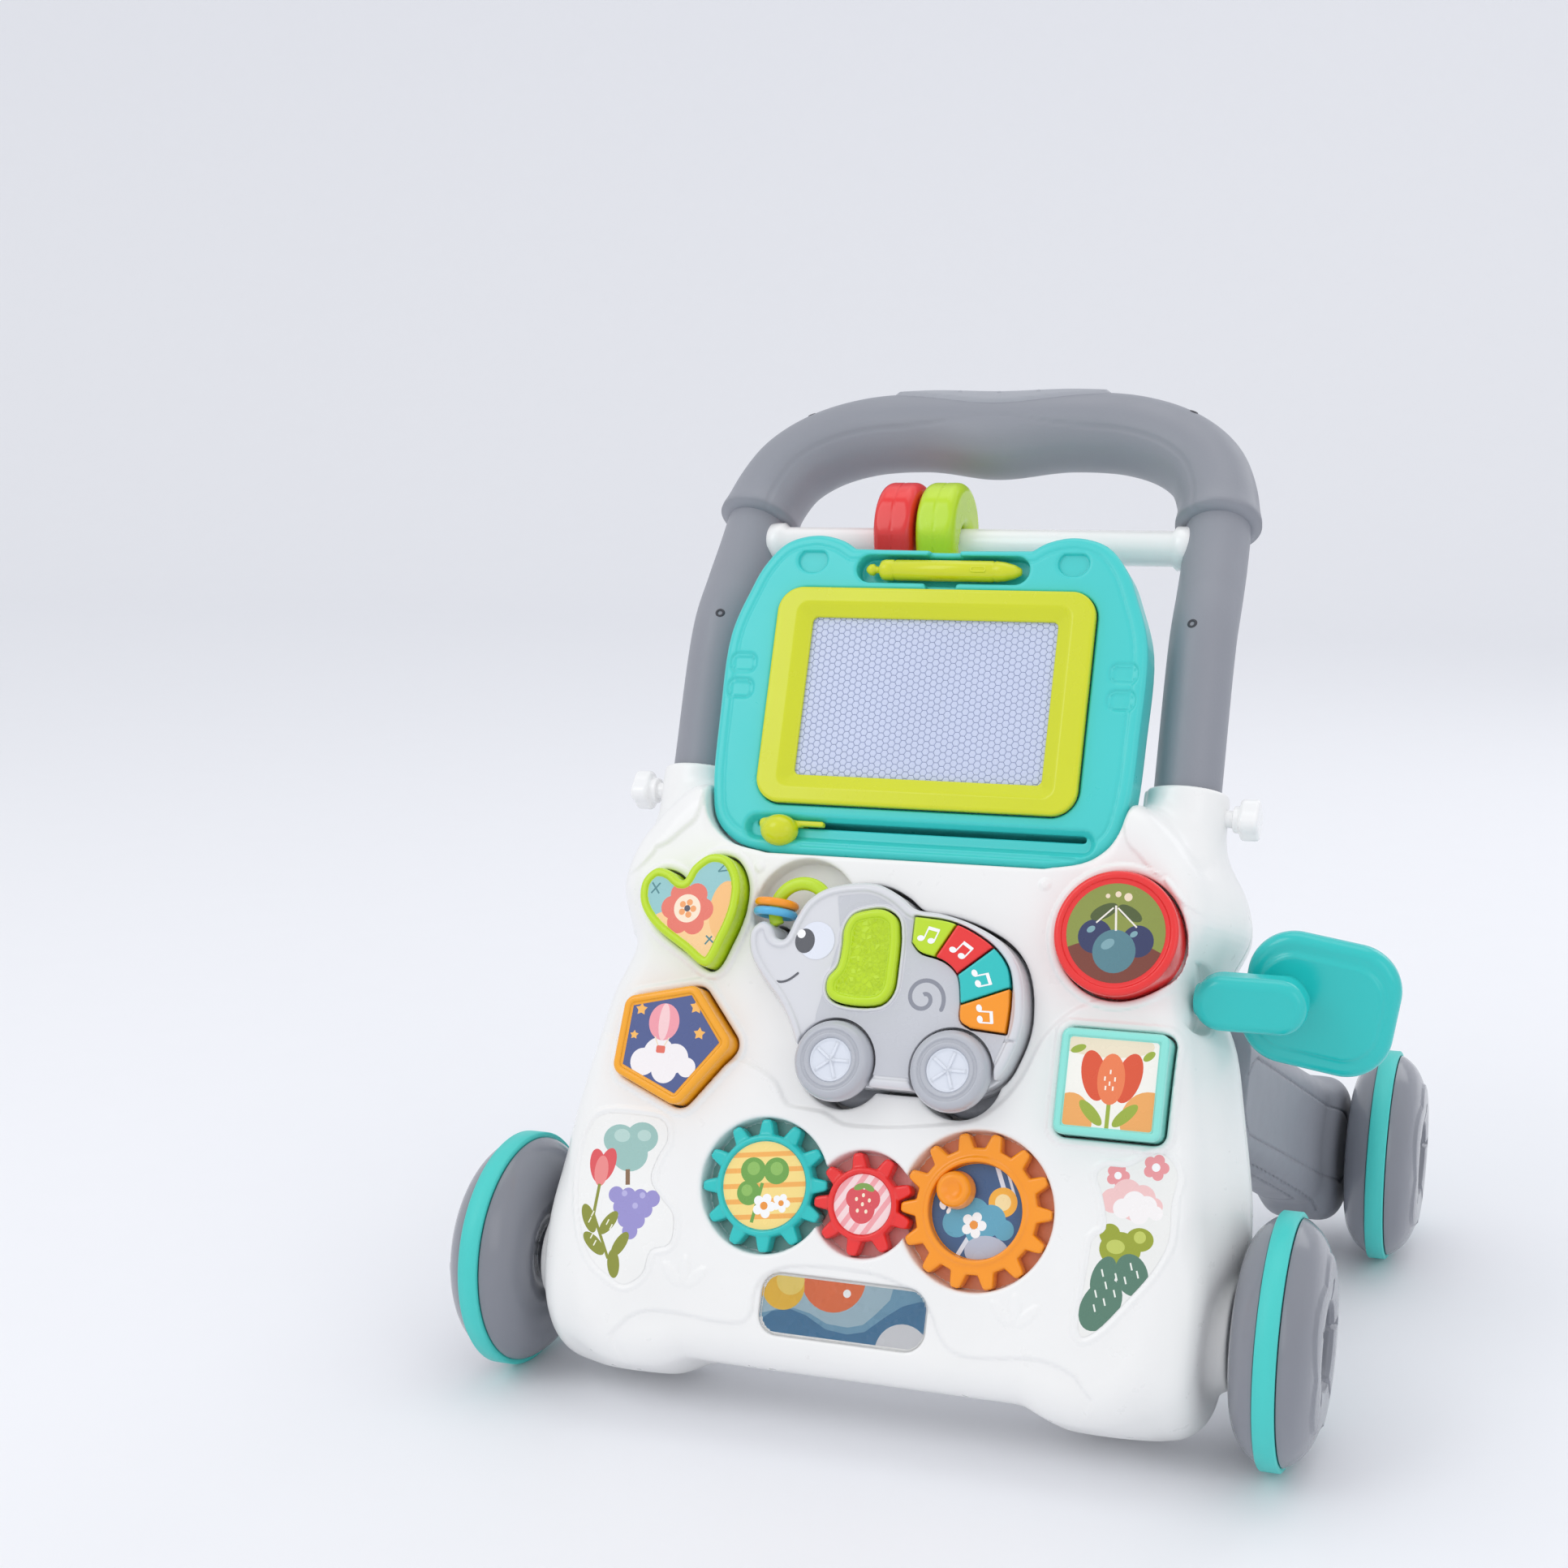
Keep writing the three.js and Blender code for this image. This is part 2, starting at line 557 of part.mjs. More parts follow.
function makeToyShells() {
  const axles = TOY_WHEELS.map(({ x }) => disc(x, TOY_WHEEL_HEIGHT, AXLE_BORE, -40, 40, 5));
  const front = cut(prism(elephantShape(0), TOY_JOINT, TOY_FACE, 2),
    ...wheelArches(ARCH_ROOM, NEAR_ARCH, ABOVE));
  const frontHollow = cut(prism(elephantShape(-TOY_WALL), TOY_JOINT - 1, TOY_FACE - TOY_WALL),
    ...wheelArches(ARCH_ROOM + TOY_WALL, NEAR_ARCH - TOY_WALL, ABOVE));
  const openings = [new THREE.Shape(grow(EAR, 0.45)), keyField()].map((shape) => prism(shape, 0, ABOVE));
  add('toy_front_shell', cut(front, frontHollow, ...axles, ...openings), 'paleGrey', panel);
  const below = TOY_BACK - 5;
  const back = cut(prism(elephantShape(0), TOY_BACK, TOY_JOINT - GAP, 2),
    ...wheelArches(ARCH_ROOM, below, FAR_ARCH));
  const backHollow = cut(prism(elephantShape(-TOY_WALL), TOY_BACK + TOY_WALL, TOY_JOINT + 1),
    ...wheelArches(ARCH_ROOM + TOY_WALL, below, FAR_ARCH + TOY_WALL));
  const { x, y, width, height } = BATTERY_DOOR;
  const doorway = prism(roundedRect(x, y, width, height, 3), TOY_BACK - 1, TOY_BACK + 5);
  const door = prism(roundedRect(x, y, width - 2 * GAP, height - 2 * GAP, 3), TOY_BACK, TOY_BACK + 2);
  add('toy_back_shell', cut(back, backHollow, doorway, ...axles), 'paleGrey', panel);
  add('toy_battery_cover', door, 'paleGrey', panel);
  add('toy_circuit_board', prism(roundedRect(4, 221, 58, 38, 3), -3.6, -2), 'circuit', panel);
}

function makeToyButtons() {
  add('toy_ear_button', prism(new THREE.Shape(EAR), 4, TOY_FACE + 3, 1), 'lime', panel);
  KEYS.forEach((finish, index) => {
    add(`toy_key_${index + 1}`, prism(keyShape(index), 4, TOY_FACE + 2), finish, panel);
  });
}

function makeToyWheels() {
  const axleEnds = [-27, 15];
  for (const { name, x } of TOY_WHEELS) {
    const place = (g) => g.rotateY(-Math.PI / 2).translate(x, TOY_WHEEL_HEIGHT, 0);
    add(`toy_axle_${name}`, place(rodAlongX(AXLE_BORE - GAP, ...axleEnds)), 'steel', panel);
    const near = [[AXLE_BORE, 4], [TOY_WHEEL_RADIUS - 2, 4], [TOY_WHEEL_RADIUS, 7], [TOY_WHEEL_RADIUS, 12],
      [TOY_WHEEL_RADIUS - 4, 17], [11, 18], [10, 16], [AXLE_BORE, 16], [AXLE_BORE, 4]];
    const far = near.map(([r, w]) => [r, -18.5 - 0.7 * w]);
    add(`toy_wheel_${name}_near`, place(turned(near, 18)), 'grey', panel);
    add(`toy_wheel_${name}_far`, place(turned(far.reverse(), 18)), 'grey', panel);
  }
}

// A lime hoop from the trunk's tip to the forehead, with two loose rings on it.
function makeToyHoop() {
  const arc = (radius, from, to) => Array.from({ length: 15 }, (_, i) => {
    const angle = THREE.MathUtils.degToRad(from + (to - from) * i / 14);
    return v3(HOOP.x + radius * Math.cos(angle), HOOP.y + radius * Math.sin(angle), HOOP.w);
  });
  const hoop = pipe(arc(HOOP.radius, 212, 35), HOOP.tube, 0, 24, 4);
  add('toy_hoop', cut(hoop, prism(elephantShape(0.4), -20, 20)), 'lime', panel);
  const rings = [['toy_ring_orange', 'orange', -2.1], ['toy_ring_blue', 'blue', 2.1]];
  for (const [name, finish, along] of rings) {
    const ring = new THREE.TorusGeometry(8.2, 1.9, 6, 18).rotateX(Math.PI / 2);
    ring.translate(HOOP.radius - 0.3, along, 0).rotateZ(RING_DIRECTION);
    add(name, ring.translate(HOOP.x, HOOP.y, HOOP.w), finish, panel);
  }
}

// ---- drawing board ----
function makeBoard() {
  const screenPocket = prism(roundedRect(0, SCREEN_CENTRE, 131, 89, 5), -12.3, 0);
  const bezelPocket = prism(roundedRect(0, SCREEN_CENTRE, 155, 105, 13), -9.9, 0);
  const inside = prism(roundedRect(0, SCREEN_CENTRE, 150, 98, 6), BOARD_REAR - 1, -15.5);
  const slotRoom = prism(roundedRect(2, ERASER_HEIGHT, 176, 13, 4), BOARD_REAR - 1, -12);
  const slot = prism(roundedRect(2, ERASER_HEIGHT + 1, 158, 3.4, 1.6), BOARD_REAR, 0);
  const penTray = prism(roundedRect(1, PEN_HEIGHT, 84, 13.5, 6.7), -16.5, 0);
  const frame = prism(new THREE.Shape(BOARD), BOARD_REAR, BOARD_FRONT, 3);
  add('board_frame', cut(frame, screenPocket, bezelPocket, inside, slotRoom, slot, penTray), 'teal', panel);
  const back = prism(new THREE.Shape(grow(BOARD, -2)), BOARD_REAR - 3.5, BOARD_REAR - GAP);
  add('board_back', back, 'teal', panel);
  const bezel = roundedRect(0, SCREEN_CENTRE, 154, 104, 12);
  bezel.holes.push(roundedRect(0, SCREEN_CENTRE, 119, 76, 4));
  add('board_bezel', prism(bezel, -9.6, -4.5, 1.5), 'lime', panel);
  add('board_screen', prism(roundedRect(0, SCREEN_CENTRE, 130, 88, 4), -12, -9.9), 'screen', panel);
  const pen = turned([[0, -38], [1.2, -37], [4.6, -26], [4.6, 27], [4, 35], [2.4, 38], [0, 38]], 12);
  add('pen', pen.translate(1, PEN_HEIGHT, -11), 'lime', panel);
  const knob = turned([[0, -7.6], [9, -7.6], [9, -3], [6.5, 0], [0, 1.4]], 20).rotateY(-Math.PI / 2)
    .translate(ERASER_START, ERASER_HEIGHT, 0);
  const neck = prism(roundedRect(ERASER_START + 6, ERASER_HEIGHT + 1, 22, 2.6, 1.2), -20, -6);
  const magnet = prism(roundedRect(ERASER_START, ERASER_HEIGHT, 12, 9, 2), -20, -14);
  add('eraser_slider', join(knob, neck, magnet), 'lime', panel);
}

// Each cane-shaped hook rises behind the board and bends over the crossbar.
const HOOK_OUTER = 23.5;
const HOOK_INNER = 10.5;
const HOOK_RISE = 6.5;           // hook's centre above the crossbar's
const HOOK_WIDTH = 20;

function makeHooks() {
  const centre = v2(BAR_Y, BAR_Z + HOOK_RISE);
  const behind = BOARD_REAR - 3.8;
  const high = sidePoint(0, 402, behind);
  const low = sidePoint(0, 378, behind);
  const blunt = sidePoint(0, 378, behind - 5);
  const shape = new THREE.Shape();
  shape.absarc(centre.x, centre.y, HOOK_OUTER, 0, Math.PI);
  shape.lineTo(centre.x - HOOK_OUTER, centre.y - 12);
  shape.lineTo(high.y, high.z);
  shape.lineTo(low.y, low.z);
  shape.lineTo(blunt.y, blunt.z);
  shape.lineTo(centre.x - HOOK_INNER, centre.y - 16);
  shape.absarc(centre.x, centre.y, HOOK_INNER, Math.PI, 0, true);
  for (const [name, finish, left] of [['hook_red', 'red', -46], ['hook_lime', 'lime', -24.5]]) {
    add(name, sidePlate(shape, left, left + HOOK_WIDTH, 2), finish);
  }
}

// ---- handle ----
const KNOB_POINT = sidePoint(0, 309, -41);
const KNOB_STEM = 4;
const BAR_HALF = 112;
const PAD_HEIGHT = 1.6;          // the grip's pad stands this far out of it
const PAD_LENGTH = 106;
const PAD_FROM = 442;            // the pad covers the crown above this height

function makeHandle() {
  const atKnob = (geometry, side) => geometry.scale(side, 1, side).translate(0, KNOB_POINT.y, KNOB_POINT.z);
  const tube = (side, radius, bore) => pipe(tubePoints(side), radius, bore, TUBE_STEPS);
  for (const [name, side] of [['right', 1], ['left', -1]]) {
    const hole = atKnob(rodAlongX(KNOB_STEM + 0.6, 126, 150), side);
    add(`tube_${name}`, cut(tube(side, TUBE_RADIUS, TUBE_BORE), hole), 'grey');
    const knob = turned([[0, 128], [KNOB_STEM, 128], [KNOB_STEM, 145], [9, 145], [9.5, 147], [9.5, 152],
      [7, 154], [0, 154]], 20);
    add(`lock_knob_${name}`, atKnob(knob, side), 'white');
  }
  add('grip', gripPipe(GRIP_RADIUS, GRIP_BORE, GRIP_STEPS), 'grey');
  const padRoom = new THREE.BoxGeometry(PAD_LENGTH, 60, 60).translate(0, 200, PAD_FROM + 30);
  const padPipe = cut(gripPipe(GRIP_RADIUS + PAD_HEIGHT, 0, GRIP_STEPS),
    gripPipe(GRIP_RADIUS + 0.2, 0, GRIP_STEPS));
  add('grip_pad', common(padPipe, padRoom), 'grey');
  const bar = rodAlongX(BAR_RADIUS, -BAR_HALF, BAR_HALF, 22).translate(0, BAR_Y, BAR_Z);
  add('crossbar', cut(bar, tube(1, TUBE_RADIUS + GAP, 0), tube(-1, TUBE_RADIUS + GAP, 0)), 'white');
}

// ---- rear legs, axles and wheels ----
const LEG_INNER = 138;
const LEG_OUTER = 178;
const LEG_BOSS = 38;
const LEG_SPLAY = 22;            // how much nearer the middle the leg starts than its barrel lies
const LEG_EASE = 3;              // how far the splayed beam stays inside the barrel's two faces

// Leans a leg drawn upright beside its wheel, so that it starts nearer the body's middle.
function splay() {
  const top = sidePoint(0, 189, BACK);
  const [run, rise] = [WHEELBASE - top.y, top.z - WHEEL_RADIUS];
  const share = LEG_SPLAY / (run * run + rise * rise);
  const matrix = new THREE.Matrix4().makeBasis(v3(1, 0, 0), v3(share * run, 1, 0), v3(-share * rise, 0, 1));
  return matrix.setPosition(-share * (WHEELBASE * run - WHEEL_RADIUS * rise), 0, 0);
}

function legShape() {
  const boss = v2(WHEELBASE, WHEEL_RADIUS);
  const top = sidePoint(0, 222, BACK - 0.4);
  const low = sidePoint(0, 156, BACK - 0.4);
  const shape = new THREE.Shape();
  shape.moveTo(top.y, top.z);
  shape.lineTo(low.y, low.z);
  shape.lineTo(boss.x - 40, boss.y - 2);
  shape.absarc(boss.x, boss.y, LEG_BOSS, Math.PI * 1.12, Math.PI * 2.42);
  return shape;
}

function makeLegs() {
  for (const [name, side] of [['right', 1], ['left', -1]]) {
    const beam = sidePlate(legShape(), LEG_INNER + LEG_EASE, LEG_OUTER - LEG_EASE, 4).applyMatrix4(splay());
    const barrel = sidePlate(circleShape(WHEELBASE, WHEEL_RADIUS, LEG_BOSS), LEG_INNER, LEG_OUTER, 4);
    const tongue = legTongue(1, 0).applyMatrix4(panel.matrix);
    const bore = rodAlongX(AXLE_RADIUS + 0.2, LEG_INNER + 8, LEG_OUTER + 5);
    bore.translate(0, WHEELBASE, WHEEL_RADIUS);
    const leg = cut(join(beam, barrel, tongue), bore);
    add(`rear_leg_${name}`, side > 0 ? leg : mirrored(leg), 'grey');
    const stub = rodAlongX(AXLE_RADIUS, LEG_INNER + 10, REAR_TRACK / 2 + 8).scale(side, 1, side);
    add(`rear_axle_${name}`, stub.translate(0, WHEELBASE, WHEEL_RADIUS), 'steel');
  }
  const rod = rodAlongX(AXLE_RADIUS, -FRONT_TRACK / 2 - 8, FRONT_TRACK / 2 + 8);
  add('front_axle', rod.translate(0, 0, WHEEL_RADIUS), 'steel');
}

// The same body reflected in the plane x = 0, with its faces turned to keep pointing out.
function mirrored(geometry) {
  const copy = geometry.clone().scale(-1, 1, 1);
  const index = copy.index.array;
  for (let i = 0; i < index.length; i += 3) {
    [index[i + 1], index[i + 2]] = [index[i + 2], index[i + 1]];
  }
  return copy;
}

const TYRE_THICKNESS = 3.6;

function makeWheels() {
  const [inside, half] = [WHEEL_RADIUS - TYRE_THICKNESS, BAND_HALF_WIDTH];
  const band = [[inside, -half], [WHEEL_RADIUS, -half], [WHEEL_RADIUS, half], [inside, half],
    [inside, -half]];
  const groove = inside - GAP;
  const bore = AXLE_RADIUS + GAP;
  const core = [[bore, -14], [15, -14], [28, -18], [42, -16.5], [54.4, -5], [groove, -5], [groove, 5],
    [54.4, 5], [42, 16.5], [28, 19.5], [19, 15], [17, 9], [bore, 9], [bore, -14]];
  const places = [['front', 0, FRONT_TRACK / 2], ['rear', WHEELBASE, REAR_TRACK / 2]];
  for (const [end, y, x] of places) {
    for (const [name, side] of [['right', 1], ['left', -1]]) {
      const place = (g) => g.scale(side, 1, side).translate(side * x, y, WHEEL_RADIUS);
      add(`wheel_${end}_${name}`, place(turned(core, 20)), 'grey');
      add(`tyre_${end}_${name}`, place(turned(band, 36)), 'teal');
    }
  }
}

// ---- side mirror ----
const MIRROR_Y = 33;
const MIRROR_Z = 197;
const MIRROR_PIN = 7;
const PLATE = { x: 186.5, y: 192, width: 68, height: 63, radius: 20, from: -62, to: -52 };
const LENS = { width: 50, height: 45, radius: 14 };

function makeMirror() {
  const arm = new THREE.Shape();
  arm.absarc(174, MIRROR_Z, 12, -Math.PI / 2, Math.PI / 2);
  arm.absarc(152, MIRROR_Z, 12, Math.PI / 2, 1.5 * Math.PI);
  const upright = new THREE.Matrix4().makeBasis(v3(1, 0, 0), v3(0, 0, 1), v3(0, -1, 0));
  const bar = prism(arm, -MIRROR_Y - 8, -MIRROR_Y + 8, 3).applyMatrix4(upright);
  const pin = rodAlongX(MIRROR_PIN, 118, 146).translate(0, MIRROR_Y, MIRROR_Z);
  const neck = prism(circleShape(172, MIRROR_Z, 9), PLATE.to + GAP, -MIRROR_Y).applyMatrix4(upright);
  add('mirror_arm', join(bar, pin, neck), 'teal');
  const onPlate = (width, height, radius, ...levels) => prism(
    roundedRect(PLATE.x, PLATE.y, width, height, radius), ...levels).applyMatrix4(upright);
  const plate = onPlate(PLATE.width, PLATE.height, PLATE.radius, PLATE.from, PLATE.to, 3);
  const seat = onPlate(LENS.width, LENS.height, LENS.radius, PLATE.from - 1, PLATE.from + 2);
  add('mirror_plate', cut(plate, seat), 'teal');
  const lens = onPlate(LENS.width - 2 * GAP, LENS.height - 2 * GAP, LENS.radius - GAP,
    PLATE.from + 0.4, PLATE.from + 2 - GAP);
  add('mirror_lens', lens, 'mirror');
}

makeBody();
makeGears();
makeBlocks();
makeToyShells();
makeToyButtons();
makeToyWheels();
makeToyHoop();
makeBoard();
makeHooks();
makeHandle();
makeLegs();
makeWheels();
makeMirror();

export default walker;
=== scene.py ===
import json
import math

import bmesh
import bpy
import numpy as np
from mathutils import Matrix, Vector, geometry


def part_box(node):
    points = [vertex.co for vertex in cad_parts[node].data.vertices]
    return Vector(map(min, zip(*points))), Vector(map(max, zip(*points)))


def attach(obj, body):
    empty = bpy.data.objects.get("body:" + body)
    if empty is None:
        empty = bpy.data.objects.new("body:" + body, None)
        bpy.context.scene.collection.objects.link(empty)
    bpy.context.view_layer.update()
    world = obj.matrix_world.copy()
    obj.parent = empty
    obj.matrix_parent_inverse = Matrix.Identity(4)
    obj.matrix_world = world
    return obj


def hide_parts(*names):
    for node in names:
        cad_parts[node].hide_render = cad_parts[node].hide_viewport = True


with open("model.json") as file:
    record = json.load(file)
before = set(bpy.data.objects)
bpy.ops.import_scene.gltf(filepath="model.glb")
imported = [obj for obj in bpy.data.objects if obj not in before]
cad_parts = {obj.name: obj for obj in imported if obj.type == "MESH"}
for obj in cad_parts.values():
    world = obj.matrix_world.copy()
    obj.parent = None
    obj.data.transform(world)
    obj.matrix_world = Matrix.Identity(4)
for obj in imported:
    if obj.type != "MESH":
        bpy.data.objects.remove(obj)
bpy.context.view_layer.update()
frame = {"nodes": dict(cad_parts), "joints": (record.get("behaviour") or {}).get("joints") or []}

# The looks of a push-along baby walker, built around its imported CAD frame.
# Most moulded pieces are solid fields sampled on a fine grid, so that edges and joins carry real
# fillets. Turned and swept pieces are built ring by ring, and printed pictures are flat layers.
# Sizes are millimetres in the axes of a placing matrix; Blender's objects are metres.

MM = 0.001
COARSE = 1.0      # grid steps grow by this while trying things
JOINTS = {joint["name"]: joint for joint in frame["joints"]}

# ---- the leaning panel's own axes: x across, s up the slope, w out of its face ----
GEAR_MIDDLE = -5.0                       # depth at which the gears' joints sit
ACROSS = Vector((1, 0, 0))
NORMAL = Vector(JOINTS["orange_gear_spin"]["axis"]).normalized()
UP = NORMAL.cross(ACROSS)


def panel_foot():
    """The point where the panel's face, carried on down, meets the floor at x = 0."""
    on_face = Vector(JOINTS["orange_gear_spin"]["pos_m"]) - NORMAL * GEAR_MIDDLE * MM
    on_face.x = 0
    return on_face - UP * (on_face.z / UP.z)


FOOT = panel_foot()
TURN = Matrix((ACROSS, UP, NORMAL)).transposed().to_4x4()
PANEL = Matrix.Translation(FOOT) @ TURN @ Matrix.Scale(MM, 4)
WORLD = Matrix.Scale(MM, 4)


def on_panel(x, s, w=0.0):
    """Axes along the panel's, moved to a point of it."""
    return PANEL @ Matrix.Translation((x, s, w))


def to_panel(point):
    """A place in the row frame, in metres, as (x, s, w) in millimetres."""
    return PANEL.inverted() @ Vector(point)


def joint_at(name):
    return Vector(JOINTS[name]["pos_m"]) / MM


def along_x(point, side=1):
    """Axes whose third runs along +X or -X from a point, in millimetres."""
    turn = Matrix(((0, 0, side), (side, 0, 0), (0, 1, 0))).to_4x4()
    return WORLD @ Matrix.Translation(point) @ turn


# ---- flat and solid fields: negative inside, millimetres ----
def smooth_min(a, b, k):
    h = np.maximum(k - np.abs(a - b), 0) / k
    return np.minimum(a, b) - h * h * (k / 4)


def smooth_max(a, b, k):
    h = np.maximum(k - np.abs(a - b), 0) / k
    return np.maximum(a, b) + h * h * (k / 4)


def ramp(value, low, high):
    """A smooth step from 0 to 1."""
    t = np.clip((value - low) / (high - low), 0, 1)
    return t * t * (3 - 2 * t)


def circle(x, y, cx, cy, radius):
    return np.hypot(x - cx, y - cy) - radius


def ellipse(x, y, cx, cy, rx, ry, turn=0.0):
    c, s = math.cos(turn), math.sin(turn)
    u, v = (x - cx) * c + (y - cy) * s, -(x - cx) * s + (y - cy) * c
    return (np.hypot(u / rx, v / ry) - 1) * min(rx, ry)


def rectangle(x, y, cx, cy, width, height, radius):
    qx = np.abs(x - cx) - width / 2 + radius
    qy = np.abs(y - cy) - height / 2 + radius
    return np.hypot(np.maximum(qx, 0), np.maximum(qy, 0)) + np.minimum(np.maximum(qx, qy), 0) - radius


def stroke(x, y, points, radius):
    """A round pen stroke through the points."""
    best = None
    for (ax, ay), (bx, by) in zip(points, points[1:]):
        dx, dy = bx - ax, by - ay
        t = np.clip(((x - ax) * dx + (y - ay) * dy) / (dx * dx + dy * dy), 0, 1)
        d = np.hypot(x - ax - t * dx, y - ay - t * dy)
        best = d if best is None else np.minimum(best, d)
    return best - radius


def polygon(x, y, points):
    """Signed distance to a closed outline."""
    x, y = np.broadcast_arrays(x, y)
    nearest = np.full(x.shape, 1e9, np.float32)
    inside = np.zeros(x.shape, bool)
    for (ax, ay), (bx, by) in zip(points, points[1:] + points[:1]):
        dx, dy = bx - ax, by - ay
        length = dx * dx + dy * dy
        if length < 1e-9:
            continue
        t = np.clip(((x - ax) * dx + (y - ay) * dy) / length, 0, 1)
        np.minimum(nearest, (x - ax - t * dx) ** 2 + (y - ay - t * dy) ** 2, out=nearest)
        if ay != by:
            inside ^= ((ay > y) != (by > y)) & (x < dx * (y - ay) / dy + ax)
    return np.where(inside, -1, 1).astype(np.float32) * np.sqrt(nearest)


def slab(flat, depth, low, high, radius=0.5):
    """A flat field pushed from one level to another, with rounded rims."""
    a = flat + radius
    b = np.abs(depth - (low + high) / 2) - (high - low) / 2 + radius
    return np.hypot(np.maximum(a, 0), np.maximum(b, 0)) + np.minimum(np.maximum(a, b), 0) - radius


def mirrored(points):
    return [(-x, y) for x, y in reversed(points)]


def curve_through(points, steps, closed=False):
    """A centripetal Catmull-Rom curve through the points, as a list of tuples."""
    p = [np.array(point, float) for point in points]
    p = [p[-1], *p, p[0], p[1]] if closed else [2 * p[0] - p[1], *p, 2 * p[-1] - p[-2]]
    out = []
    for a, b, c, d in zip(p, p[1:], p[2:], p[3:]):
        before, here, after = [max(np.linalg.norm(m - n), 1e-6) ** 0.5 for m, n in ((a, b), (b, c), (c, d))]
        leave = ((b - a) / before - (c - a) / (before + here) + (c - b) / here) * here
        arrive = ((c - b) / here - (d - b) / (here + after) + (d - c) / after) * here
        for step in range(steps):
            t = step / steps
            out.append(tuple((2 * t ** 3 - 3 * t * t + 1) * b + (t ** 3 - 2 * t * t + t) * leave
                             + (3 * t * t - 2 * t ** 3) * c + (t ** 3 - t * t) * arrive))
    return out if closed else out + [tuple(points[-1])]


# ---- meshes ----
class Block:
    """Sample points over a box, in millimetres along the axes of a placing matrix."""

    def __init__(self, low, high, step, place=PANEL):
        self.step = step * COARSE
        self.low = np.array(low) - 2 * self.step
        self.counts = [int((b - a) / self.step) + 5 for a, b in zip(low, high)]
        self.place = place
        axes = [a + self.step * np.arange(n, dtype=np.float32) for a, n in zip(self.low, self.counts)]
        self.x = axes[0].astype(np.float32)[:, None, None]
        self.y = axes[1].astype(np.float32)[None, :, None]
        self.z = axes[2].astype(np.float32)[None, None, :]


CORNERS = [(i, j, k) for i in (0, 1) for j in (0, 1) for k in (0, 1)]
EDGES = [(a, b) for a in range(8) for b in range(a + 1, 8) if (a ^ b) in (1, 2, 4)]


def net_points(cells, corner):
    """One point in each crossed cell, and the field's slope there."""
    total = np.zeros((len(cells), 3))
    hits = np.zeros(len(cells))
    for a, b in EDGES:
        va, vb = corner[:, a], corner[:, b]
        crosses = (va < 0) != (vb < 0)
        t = np.where(crosses, va / np.where(crosses, va - vb, 1), 0)
        start, end = np.array(CORNERS[a]), np.array(CORNERS[b])
        total += crosses[:, None] * (start + t[:, None] * (end - start))
        hits += crosses
    part = total / hits[:, None]
    grid = corner.reshape(-1, 2, 2, 2)
    weight = np.stack([1 - part, part], 2)
    slope = [np.einsum("njk,nj,nk->n", grid[:, 1] - grid[:, 0], weight[:, 1], weight[:, 2]),
             np.einsum("nik,ni,nk->n", grid[:, :, 1] - grid[:, :, 0], weight[:, 0], weight[:, 2]),
             np.einsum("nij,ni,nj->n", grid[..., 1] - grid[..., 0], weight[:, 0], weight[:, 1])]
    return cells + part, np.stack(slope, 1)


def net_faces(inside, index):
    """A quad round each grid edge that the surface crosses, facing outwards."""
    quads = []
    for axis in range(3):
        sides = [np.eye(3, dtype=int)[(axis + turn) % 3] for turn in (1, 2)]
        lower = np.delete(inside, -1, axis)
        at = np.argwhere(lower != np.delete(inside, 0, axis))
        faces = np.stack([index[tuple((at - u * sides[0] - v * sides[1]).T)]
                          for u, v in ((1, 1), (0, 1), (0, 0), (1, 0))], 1)
        outward = lower[tuple(at.T)]
        faces[~outward] = faces[~outward][:, ::-1]
        quads.append(faces)
    return np.concatenate(quads)


def mesh_of(name, points, faces, place):
    mesh = bpy.data.meshes.new(name)
    matrix = np.array(place)[:3]
    world = np.asarray(points) @ matrix[:, :3].T + matrix[:, 3]
    order = -1 if np.linalg.det(matrix[:, :3]) < 0 else 1
    mesh.from_pydata(world, [], [list(map(int, face))[::order] for face in faces])
    mesh.polygons.foreach_set("use_smooth", np.ones(len(mesh.polygons), bool))
    mesh.update()
    obj = bpy.data.objects.new(name, mesh)
    bpy.context.collection.objects.link(obj)
    return obj


def skin(name, block, field):
    """The surface of a solid field, as a mesh object with the field's own normals."""
    values = np.array(np.broadcast_to(field, block.counts), np.float32)
    for axis in range(3):
        edge = np.moveaxis(values, axis, 0)
        edge[0] = edge[-1] = block.step
    inside = values < 0
    shape = [n - 1 for n in values.shape]
    window = [tuple(slice(o, o + n) for o, n in zip(corner, shape)) for corner in CORNERS]
    count = sum(inside[w].astype(np.uint8) for w in window)
    cells = np.argwhere((count > 0) & (count < 8))
    index = np.full(shape, -1, np.int32)
    index[tuple(cells.T)] = np.arange(len(cells))
    corner = np.stack([values[w][tuple(cells.T)] for w in window], 1).astype(float)
    points, slope = net_points(cells, corner)
    obj = mesh_of(name, points * block.step + block.low, net_faces(inside, index), block.place)
    normals = slope @ np.array(block.place.to_3x3()).T
    normals /= np.maximum(np.linalg.norm(normals, axis=1), 1e-12)[:, None]
    obj.data.normals_split_custom_set_from_vertices(normals)
    return obj


